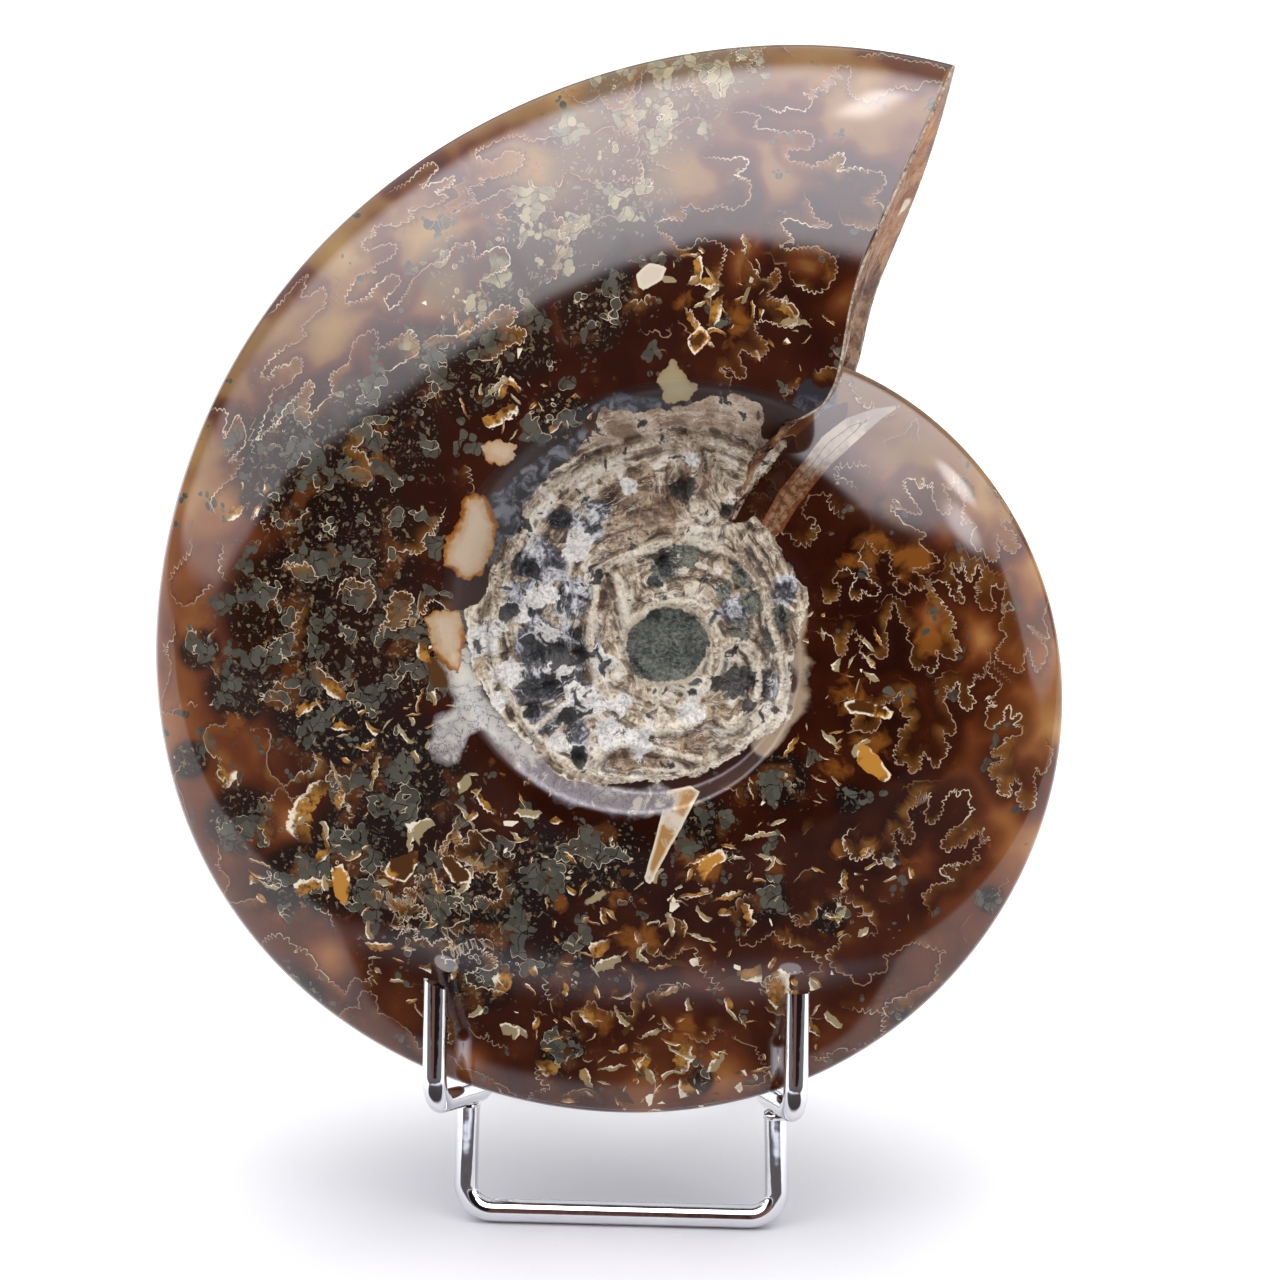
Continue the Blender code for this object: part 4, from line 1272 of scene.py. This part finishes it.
# %% [markdown]
# ## The broken parts
# The hollow and the mouth were never polished. Fibres of old shell follow the spiral there, with
# white crystals and dark stone between them. They have a rough surface of their own, so they get a
# second shader, and the edge of the hollow decides which of the two is seen.

# %% Threads, chips and grit in the hollow
matrix_shader = tree.nodes.new("ShaderNodeBsdfPrincipled")
hollow_mm, ridge_far, crack_far = stored(tree, "hollow")
white_share, cold_share, brown_share = stored(tree, "crystals")
height, green_share, _ = stored(tree, "relief")
grit = mottle(flat_place, 1.5, 3.0, 0.65)
thread_sockets = {0: ridge_far * 1.1 + crumbs * 2.4 + 1.2, 1: across_mm * 0.12, 2: up_mm * 0.12}
threads = mottle(Signal.node(tree, "ShaderNodeCombineXYZ", (), thread_sockets), 1.0, 3.0, 0.6, flat=False)
rough = crumbs * 3.4
chips = parts(cells(curled, 0.8, "F1", 1.0, "Color"))[0] - 0.5

# %% Colours of the hollow's wall
WALL = (
    (0.15, (0.03, 0.022, 0.016)),
    (0.34, (0.16, 0.11, 0.065)),
    (0.47, (0.35, 0.265, 0.175)),
    (0.6, (0.6, 0.5, 0.37)),
    (0.8, (0.88, 0.82, 0.7)),
)
BROWN = ((0.15, (0.035, 0.015, 0.008)), (0.5, (0.2, 0.115, 0.06)), (0.8, (0.55, 0.42, 0.28)))
COLD = (
    (0.22, (0.01, 0.012, 0.016)),
    (0.45, (0.075, 0.08, 0.1)),
    (0.58, (0.4, 0.41, 0.455)),
    (0.8, (0.85, 0.86, 0.88)),
)
GREEN = ((0.035, 0.042, 0.033), (0.19, 0.2, 0.155))
TAN = ((0.2, (0.25, 0.16, 0.1)), (0.5, (0.42, 0.31, 0.22)), (0.8, (0.58, 0.47, 0.36)))
RIDGE = ((0.4, (0.32, 0.24, 0.16)), (0.48, (0.66, 0.57, 0.43)), (0.58, (0.9, 0.84, 0.72)))
WHITE = ((0.35, (0.6, 0.57, 0.53)), (0.55, (0.9, 0.885, 0.85)))
PLUG = ((0.3, (0.022, 0.026, 0.021)), (0.5, (0.075, 0.082, 0.066)), (0.7, (0.17, 0.18, 0.15)))
RIDGE_SHADE = (0.06, 0.042, 0.03)
FIBRE = (0.88, 0.83, 0.73)
PIT_SHADE = (0.012, 0.012, 0.013)
CRACK = (0.03, 0.03, 0.035)
PLUG_COLLAR = (0.55, 0.47, 0.35)

# %% Where each of them shows
# The relief's height is painted into the wall's tone: low places darker as painted shade, high places lighter
# as painted light.
wall_tone = threads * 1.3 + crumbs + grit * 0.35 + chips * 0.34 + height * 0.07 - 0.275
wall_tone = wall_tone + ridge_far.ramp(2.4, 0.3) * 0.1 + up_mm.ramp(6.0, -10.0) * 0.1
brown_tone = crumbs * 2.2 + threads * 0.8 + grit * 0.5 - 0.15
tan_wall = (up_mm + rough * 1.6 - ridge_far * 0.4).ramp(29.5, 31.5)
# A dark line beside each ridge is painted shadow.
painted_shadow_beside_ridge = abs(ridge_far + rough * 0.3 - 1.5).ramp(0.6, 0.1) * crumbs.ramp(0.04, -0.04)
fibres = abs(threads - 0.5).ramp(0.016, 0.003) * mid_two.ramp(-0.04, 0.04)
cracks = (crack_far + rough * 0.35).ramp(0.25, 0.08) * mid_three.ramp(-0.08, 0.0)
plug_edge = plug_mm + fine_one * 0.9 + rough * 0.3
wall_colour = painted(
    stepped(wall_tone, *WALL),
    (stepped(brown_tone, *BROWN), (brown_share + rough * 0.5).ramp(0.3, 0.5) * 0.92),
    (stepped(brown_tone, *COLD), (cold_share + rough * 0.45).ramp(0.3, 0.42) * 0.95),
    (blended(*GREEN, (grit + crumbs).ramp(0.35, 0.65)), (green_share + rough * 0.5).ramp(0.35, 0.45) * 0.95),
    (stepped(brown_tone, *TAN), tan_wall * 0.92),
    (RIDGE_SHADE, painted_shadow_beside_ridge * 0.75),
    (stepped(threads * 0.6 + grit * 0.4, *RIDGE), (ridge_far + rough * 0.25).ramp(0.75, 0.45) * 0.92),
    (FIBRE, fibres * 0.7),
    (stepped(grit, *WHITE), (white_share + rough * 0.55 + fine_one * 0.3).ramp(0.42, 0.52)),
    # painted shade: the pits, also sunk in the mesh, are painted near black.
    (PIT_SHADE, (pit_share + rough * 0.9 + fine_one * 0.5).ramp(0.34, 0.56) * 0.93),
    (CRACK, cracks * 0.85),
    (PLUG_COLLAR, plug_edge.ramp(1.6, 0.5) * crumbs.ramp(-0.1, 0.02)),
    (stepped(grit + crumbs, *PLUG), plug_edge.ramp(0.3, 0.0)),
)

# %% The mouth's broken face and its pale lip
MOUTH = ((0.15, (0.03, 0.008, 0.003)), (0.5, (0.17, 0.06, 0.02)), (0.8, (0.4, 0.24, 0.13)))
MOUTH_GLOW = (0.62, 0.27, 0.055)
MOUTH_TOP = (0.42, 0.16, 0.04)
MOUTH_WHITE = (0.75, 0.66, 0.5)
LIP = ((0.3, 0.2, 0.13), (0.62, 0.52, 0.4))
deep_noise = mottle(place, 0.24, 4.0, 0.6, flat=False)
mouth_colour = painted(
    stepped((deep_noise - 0.5) * 2.4 + 0.55, *MOUTH),
    (MOUTH_GLOW, (glow_share + rough * 0.2).ramp(0.3, 0.8)),
    (MOUTH_TOP, up_mm.ramp(56.0, 66.0) * 0.55),
    (MOUTH_WHITE, (white_share + rough * 0.2).ramp(0.4, 0.6)),
)
behind_lip = lip_mm.ramp(-0.1, -0.4)
lip_line = abs(lip_mm + mid_one * 0.6).ramp(0.5, 0.28) * rim_share.ramp(0.0, 0.04)
lip_colour = blended(*LIP, fine_two.ramp(-0.15, 0.1))
wall_colour = painted(wall_colour, (mouth_colour, behind_lip), (lip_colour, lip_line))

# %% Both shaders together
feed(matrix_shader, "Base Color", wall_colour)
matrix_shader.inputs["Roughness"].default_value = 0.4
matrix_shader.inputs["IOR"].default_value = 1.5
grain_height = grit * 0.6 + threads * 1.2 + crumbs * 1.4 + 0.7 + ridge_far.ramp(1.6, 0.2) * 0.6
grain_height = grain_height * (1.0 - behind_lip) + deep_noise * behind_lip * 3.0
bump_sockets = {"Strength": 0.75, "Distance": 0.0014, "Height": grain_height}
feed(matrix_shader, "Normal", Signal.node(tree, "ShaderNodeBump", (), bump_sockets))
in_hollow = (hollow_mm + edge_noise * 1.2 + rough * 0.8 - 0.4).ramp(0.12, -0.12)
broken = in_hollow.sum("MAXIMUM", lip_mm.ramp(-0.05, -0.2)).sum("MAXIMUM", lip_line)
two_shaders = {0: broken, 1: Signal(stone_shader.outputs[0]), 2: Signal(matrix_shader.outputs[0])}
both = Signal.node(tree, "ShaderNodeMixShader", (), two_shaders)
tree.links.new(both.socket, tree.nodes["Material Output"].inputs["Surface"])
ammonite.data.materials.clear()
ammonite.data.materials.append(stone)
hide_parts("ammonite")
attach(ammonite, "root")
print("the stone's material has", len(tree.nodes), "nodes")

# %% [markdown]
# ## The stand
# Small display stands are bent from round steel rod, cut with a saw, welded and chrome plated. Here
# each rod is a curve along the same path as in the frame, given its thickness and made a mesh.

# %% Measures of the stand
WIRE_RADIUS = 0.00205
VISIBLE_RADIUS = WIRE_RADIUS * math.cos(math.radians(15.0))
TOUCH_GAP = 0.0003
SAME_RING = 0.0001
STAND_MIDDLE = -0.0072
HOOK_HALF_WIDTH = 0.0294
HOOK_FRONT = 0.014
HOOK_TIP_HEIGHT = -0.0555
HOOK_TIP_SLANT_DEG = 24.0
HOOK_LEVEL = -0.07515
HOOK_BEND = 0.005
ARM_DROP = 0.088
REST_HALF_WIDTH = 0.0229
REST_HEIGHT = -0.002
REST_FOOT_BEND = 0.008
REST_TOP_BEND = 0.014
FRONT_LEG_BEHIND = -0.005
FRONT_LEG_HALF_WIDTH = 0.0261
FRONT_BAR_FORWARD = -0.015
FOOT_BEND = 0.0045
BAR_LEVEL = -0.0959
REAR_WELD_TOP = -0.040
REAR_WELD_END = -0.050
REAR_BAR_BACK = 0.046
REAR_LEG_BEND = 0.008


def leaning(across, up, forward):
    return Vector(LEANING @ np.array([across, up, forward]))


def bent_path(corners, radii):
    """The line through the corners, each inner corner turned at its radius in even steps."""
    path = [corners[0]]
    for before, corner, after, bend in zip(corners, corners[1:], corners[2:], radii):
        arriving = (before - corner).normalized()
        leaving = (after - corner).normalized()
        turn = math.pi - arriving.angle(leaving)
        middle = corner + (arriving + leaving).normalized() * bend / math.cos(turn / 2.0)
        start = corner + arriving * bend * math.tan(turn / 2.0)
        axis = arriving.cross(leaving).normalized()
        steps = max(4, round(math.degrees(turn) / 5.0))
        for number in range(steps + 1):
            path.append(middle + Matrix.Rotation(-turn * number / steps, 3, axis) @ (start - middle))
    path.append(corners[-1])
    return path


def saw_end(rod, spot, direction, cut):
    """Slides the end ring of a rod along it, onto the plane of the saw cut."""
    for vertex in rod.data.vertices:
        away = vertex.co - spot
        if abs(away.dot(direction)) < SAME_RING and away.length < 1.2 * VISIBLE_RADIUS:
            vertex.co -= direction * away.dot(cut) / direction.dot(cut)


def bent_rod(name, path, cuts):
    """A rod along a path, sawn at both ends."""
    line = bpy.data.curves.new(name, "CURVE")
    line.dimensions = "3D"
    line.bevel_depth = VISIBLE_RADIUS
    line.bevel_resolution = 7
    line.use_fill_caps = True
    spline = line.splines.new("POLY")
    spline.points.add(len(path) - 1)
    for knot, spot in zip(spline.points, path):
        knot.co = (*(spot + Vector(umbilicus)), 1.0)
    rod = bpy.data.objects.new(name, line)
    bpy.context.scene.collection.objects.link(rod)
    bpy.ops.object.select_all(action="DESELECT")
    rod.select_set(True)
    bpy.context.view_layer.objects.active = rod
    bpy.ops.object.convert(target="MESH")
    rod = bpy.context.object
    bpy.ops.object.mode_set(mode="EDIT")
    bpy.ops.mesh.select_all(action="SELECT")
    bpy.ops.mesh.remove_doubles(threshold=0.000002)
    bpy.ops.mesh.normals_make_consistent(inside=False)
    bpy.ops.object.mode_set(mode="OBJECT")
    for spot, inner, cut in ((path[0], path[1], cuts[0]), (path[-1], path[-2], cuts[1])):
        saw_end(rod, spot + Vector(umbilicus), (spot - inner).normalized(), cut)
    rod.data.shade_smooth()
    rod.data.set_sharp_from_angle(angle=math.radians(35.0))
    print(name, len(rod.data.polygons), "faces")
    return rod


# %% How far back the rest stands, so that the stone leans on it
def thickness_at(across, up):
    reach = np.hypot(across, up)
    turn = (np.degrees(np.arctan2(up, across)) - aperture_angle(reach)) % 360.0
    keel = keel_radius(turn)
    return np.where(reach < keel, half_thickness(np.minimum(reach, keel), turn, keel), 0.0)


rest_heights = HOOK_LEVEL + (REST_HEIGHT - HOOK_LEVEL) * np.linspace(0.0, 1.0, 41)
rest_behind = max(
    float(thickness_at(np.full(41, STAND_MIDDLE + across), rest_heights).max())
    for across in (-REST_HALF_WIDTH, REST_HALF_WIDTH)
)
rest = -(rest_behind + TOUCH_GAP + WIRE_RADIUS)
print("the back rest stands", round(-1000.0 * rest, 2), "mm behind the middle of the disc")


def arm_level(forward):
    return HOOK_LEVEL + ARM_DROP * (forward - HOOK_FRONT)


def arm_half_width(forward):
    inward = (HOOK_FRONT - forward) / (HOOK_FRONT - rest)
    return HOOK_HALF_WIDTH + (REST_HALF_WIDTH - HOOK_HALF_WIDTH) * inward


# %% The cradle: hooks, arms and back rest in one rod
half = (
    (HOOK_HALF_WIDTH, HOOK_TIP_HEIGHT, HOOK_FRONT),
    (HOOK_HALF_WIDTH, HOOK_LEVEL, HOOK_FRONT),
    (REST_HALF_WIDTH, arm_level(rest), rest),
    (REST_HALF_WIDTH, REST_HEIGHT, rest),
)
corners = [leaning(STAND_MIDDLE - across, up, forward) for across, up, forward in half]
corners += [leaning(STAND_MIDDLE + across, up, forward) for across, up, forward in half[::-1]]
slant = math.radians(HOOK_TIP_SLANT_DEG)
bends = (HOOK_BEND, REST_FOOT_BEND, REST_TOP_BEND, REST_TOP_BEND, REST_FOOT_BEND, HOOK_BEND)
tip_cuts = (leaning(math.sin(slant), math.cos(slant), 0.0), leaning(0.0, 1.0, 0.0))
cradle = bent_rod("cradle_rod", bent_path(corners, bends), tip_cuts)

# %% The front foot, butted under the arms
arm = leaning(0.0, arm_level(FRONT_LEG_BEHIND), FRONT_LEG_BEHIND)
arm_slope = lean + math.atan(ARM_DROP)
under = WIRE_RADIUS / math.cos(arm_slope) + TOUCH_GAP
leg_half = arm_half_width(FRONT_LEG_BEHIND)
corners = [
    Vector((STAND_MIDDLE - leg_half, arm.y, arm.z - under)),
    Vector((STAND_MIDDLE - FRONT_LEG_HALF_WIDTH, FRONT_BAR_FORWARD, BAR_LEVEL)),
    Vector((STAND_MIDDLE + FRONT_LEG_HALF_WIDTH, FRONT_BAR_FORWARD, BAR_LEVEL)),
    Vector((STAND_MIDDLE + leg_half, arm.y, arm.z - under)),
]
leg_cut = Vector((0.0, math.sin(arm_slope), math.cos(arm_slope)))
front_foot = bent_rod("front_foot_rod", bent_path(corners, (FOOT_BEND, FOOT_BEND)), (leg_cut, leg_cut))

# %% The rear leg behind the back rest
behind = rest - 2.0 * WIRE_RADIUS - TOUCH_GAP
leg_top = leaning(0.0, REAR_WELD_TOP, behind)
elbow = leaning(0.0, REAR_WELD_END, behind)
corners = []
for hand in (-1.0, 1.0):
    across = STAND_MIDDLE + hand * REST_HALF_WIDTH
    leg_profile = ((leg_top.y, leg_top.z), (elbow.y, elbow.z), (REAR_BAR_BACK, BAR_LEVEL))
    leg = [Vector((across, *spot)) for spot in leg_profile]
    corners += leg if hand < 0.0 else leg[::-1]
upward_cut = leaning(0.0, 1.0, 0.0)
bends = (REAR_LEG_BEND, FOOT_BEND, FOOT_BEND, REAR_LEG_BEND)
rear_leg = bent_rod("rear_leg_rod", bent_path(corners, bends), (upward_cut, upward_cut))

# %% [markdown]
# ## Weld beads
# Where two rods meet, the weld leaves a lumpy collar. A ball is flattened, roughened with noise and
# sunk into the joint.


# %% Lumps of weld
def weld_bead(name, spot, size, seed):
    """A lumpy bead at a spot given from the umbilicus."""
    bpy.ops.object.select_all(action="DESELECT")
    bpy.ops.mesh.primitive_ico_sphere_add(subdivisions=4, radius=1.0)
    bead = bpy.context.object
    bead.name = name
    for vertex in bead.data.vertices:
        lump = 1.0 + 0.16 * noise.noise(vertex.co * 1.7 + Vector((seed, 0.0, 0.0)))
        lumpy = Vector([axis * reach * lump for axis, reach in zip(vertex.co, size)])
        vertex.co = lumpy + spot + Vector(umbilicus)
    bead.data.shade_smooth()
    return bead


FRONT_WELD = (0.0021, 0.0019, 0.0012)
REAR_WELD = (0.0015, 0.0012, 0.0035)
FRONT_WELD_DROP = 0.0023
FRONT_WELD_BEHIND = (0.0008, -0.0003)
welds = []
for number, hand in enumerate((-1.0, 1.0)):
    label = ("left", "right")[number]
    front_y = arm.y + FRONT_WELD_BEHIND[number]
    front_joint = Vector((STAND_MIDDLE + hand * leg_half, front_y, arm.z - FRONT_WELD_DROP))
    welds.append(weld_bead("front_weld_" + label, front_joint, FRONT_WELD, 3.0 + number))
    weld_height = (REAR_WELD_TOP + REAR_WELD_END) / 2.0
    back_joint = leaning(STAND_MIDDLE + hand * REST_HALF_WIDTH, weld_height, rest - WIRE_RADIUS)
    welds.append(weld_bead("rear_weld_" + label, back_joint, REAR_WELD, 9.0 + number))

# %% [markdown]
# ## Chrome
# Chrome is a mirror: it has almost no colour of its own, and its looks come from what stands
# around it. A faint unevenness under the plating breaks the reflections a little.

# %% The chrome finish
chrome, chrome_tree, chrome_shader = new_finish("bright_chrome")
chrome_place = Signal.node(chrome_tree, "ShaderNodeTexCoord", (), (), "Object")
chrome_shader.inputs["Metallic"].default_value = 1.0
haze = mottle(chrome_place, 220.0, 2.0, flat=False)
feed(chrome_shader, "Base Color", stepped(haze, (0.3, (0.74, 0.75, 0.775)), (0.7, (0.8, 0.805, 0.82))))
feed(chrome_shader, "Roughness", (haze - 0.5) * 0.05 + 0.055)
ripples = mottle(chrome_place, 400.0, 1.0, flat=False)
ripple_sockets = {"Strength": 0.12, "Distance": 0.0002, "Height": ripples}
feed(chrome_shader, "Normal", Signal.node(chrome_tree, "ShaderNodeBump", (), ripple_sockets))
rods = ((cradle, "stand_cradle_wire"), (front_foot, "stand_front_foot"), (rear_leg, "stand_rear_leg"))
for rod, node in rods:
    rod.data.materials.clear()
    rod.data.materials.append(chrome)
    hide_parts(node)
for weld in welds:
    weld.data.materials.append(chrome)
for piece in [cradle, front_foot, rear_leg] + welds:
    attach(piece, "root")

# %% [markdown]
# ## Floor, light and surroundings
# A white table under one very large soft light. Polished stone and chrome also mirror the room, so
# the room is part of the look: white above and to the sides, dark where the photographer stands.

# %% The white table
bpy.ops.object.select_all(action="DESELECT")
bpy.ops.mesh.primitive_plane_add(size=6.0, location=(0.0, 0.0, 0.0))
table = bpy.context.object
table.name = "white_table"
white_top, table_tree, table_shader = new_finish("white_table_top")
table_x, table_y, _ = parts(Signal.node(table_tree, "ShaderNodeTexCoord", (), (), "Object"))
light_path = Signal.node(table_tree, "ShaderNodeLightPath", (), (), "Is Glossy Ray")
# Mirrored rays see the table in front of the stand painted near black, with a lighter grey band farther out:
# a painted dark reflection for the chrome and the stone.
sideways_out = abs(table_x).ramp(0.05, 0.12) * 0.07
beyond_foot = (table_y + sideways_out).ramp(-0.042, -0.052)
in_front = table_y - sideways_out
grey_reach = in_front.ramp(-0.075, -0.1) * in_front.ramp(-0.19, -0.14)
grey_reach = light_path.other("Ray Length").ramp(0.085, 0.13) * grey_reach
top_painted_dark_for_reflections = blended((0.03, 0.025, 0.025), (0.7, 0.73, 0.82), grey_reach)
# A soft grey patch on the table, round and in front of the stand, is painted shadow in the table's colour.
shade = ((table_x / 0.085) ** 2.0 + ((table_y + 0.05) / 0.075) ** 2.0).ramp(1.35, 0.1)
white_paint_and_stand_shadow = blended((0.93, 0.94, 0.965), (0.72, 0.725, 0.76), shade)
feed(table_shader, "Base Color", blended(white_paint_and_stand_shadow, top_painted_dark_for_reflections, beyond_foot * light_path))
far_glow = table_y.ramp(0.05, 0.8) * light_path.other("Is Camera Ray")
feed(table_shader, "Emission Color", blended((0.0, 0.0, 0.0), (0.3, 0.29, 0.27), far_glow))
table_shader.inputs["Emission Strength"].default_value = 1.0
table_shader.inputs["Roughness"].default_value = 0.7
table_shader.inputs["Specular IOR Level"].default_value = 0.1
table.data.materials.append(white_top)

# %% The soft light overhead
lamp_data = bpy.data.lights.new("overhead_softbox", "AREA")
lamp_data.shape = "RECTANGLE"
lamp_data.size = 1.6
lamp_data.size_y = 1.2
lamp_data.energy = 13.0
lamp = bpy.data.objects.new("overhead_softbox", lamp_data)
bpy.context.scene.collection.objects.link(lamp)
lamp.location = (0.0, -0.15, 1.3)
lamp.rotation_euler = (math.radians(-8.0), 0.0, 0.0)
lamp.visible_glossy = False

# %% [markdown]
# The polished flank is a slightly curved mirror, so each soft edge of the haze on it names a
# direction in the room. In front it is dark up to a line that is highest straight ahead and falls
# away to both sides, and above that line stand the bright diffusers. Mirrored rays see them at
# their full strength, and the plain light of the room is kept lower, as the lamp gives the rest.

# %% The room around it
room = bpy.data.worlds.new("studio")
room.use_nodes = True
bpy.context.scene.world = room
room_tree = room.node_tree
room_tree.nodes.clear()
look = Signal.node(room_tree, "ShaderNodeTexCoord", (), (), "Generated")
look_x, look_y, look_z = parts(look)
straight = Signal.node(room_tree, "ShaderNodeLightPath", (), (), "Is Camera Ray")
mirrored = straight.other("Is Glossy Ray")
SKYLINE = (
    (-0.9, 0.08), (-0.75, 0.3), (-0.5, 0.385), (-0.38, 0.465), (-0.3, 0.54), (-0.14, 0.66), (0.08, 0.65),
    (0.3, 0.5), (0.6, 0.48), (0.75, 0.4), (0.82, 0.12), (0.9, 0.0),
)
heights = [((x + 1.0) / 2.0, (z, z, z)) for x, z in SKYLINE]
skyline = parts(stepped(look_x * 0.5 + 0.5, *heights))[0]
above = (look_z - skyline).ramp(-0.02, 0.035)
ahead = look_y.ramp(0.05, -0.15)
dark_room = ahead * (1.0 - above)
diffuser = look_y.ramp(0.3, 0.05) * above * look_z.ramp(-0.05, 0.1)
brown_wall = look_x.ramp(-0.6, -0.4) * look_x.ramp(0.0, -0.12) * dark_room
surround = blended((0.72, 0.74, 0.78), (0.012, 0.01, 0.01), dark_room)
surround = blended(surround, (0.2, 0.085, 0.068), brown_wall)
beside = abs(look_x).ramp(0.8, 0.88) * look_z.ramp(0.35, 0.25)
behind_shelf = look_y.ramp(0.25, 0.4) * look_z.ramp(0.0, 0.04) * look_z.ramp(0.27, 0.22)
dim_walls = beside.sum("MAXIMUM", behind_shelf) * mirrored
surround = blended(surround, (0.22, 0.22, 0.235), dim_walls * 0.85)
plain_light = blended(surround, (1.3, 1.25, 1.25), diffuser)
sheen = blended(surround, blended((2.3, 2.25, 2.35), (6.4, 6.4, 6.9), look_z.ramp(0.3, 0.95)), diffuser)


def bright_spot(direction, low, high):
    """A soft round light in one direction of the room."""
    length = math.sqrt(sum(part * part for part in direction))
    x, y, z = (part / length for part in direction)
    return (look_x * x + look_y * y + look_z * z).ramp(low, high)


streak = abs(look_x - 0.11 - (look_y + 0.14) * 0.3).ramp(0.05, 0.01) * abs(look_y + 0.14).ramp(0.16, 0.06)
spots = streak * look_z.ramp(0.9, 0.93)
SPOTS = (
    ((0.66, -0.42, 0.62), 0.9955, 0.9993, 0.8),
    ((0.63, -0.59, 0.5), 0.996, 0.9995, 0.5),
    ((0.4, -0.63, 0.66), 0.987, 0.999, 0.08),
)
for direction, low, high, strength in SPOTS:
    spots = spots + bright_spot(direction, low, high) * strength
sheen = blended(sheen, (16.0, 15.5, 15.5), spots)
surround = blended(plain_light, sheen, mirrored)
surround = blended(surround, (1.05, 1.05, 1.05), straight)
room_light = Signal.node(room_tree, "ShaderNodeBackground", (), {"Color": surround, "Strength": 1.0})
room_end = room_tree.nodes.new("ShaderNodeOutputWorld")
room_tree.links.new(room_light.socket, room_end.inputs["Surface"])
bpy.context.scene.view_settings.view_transform = "Standard"
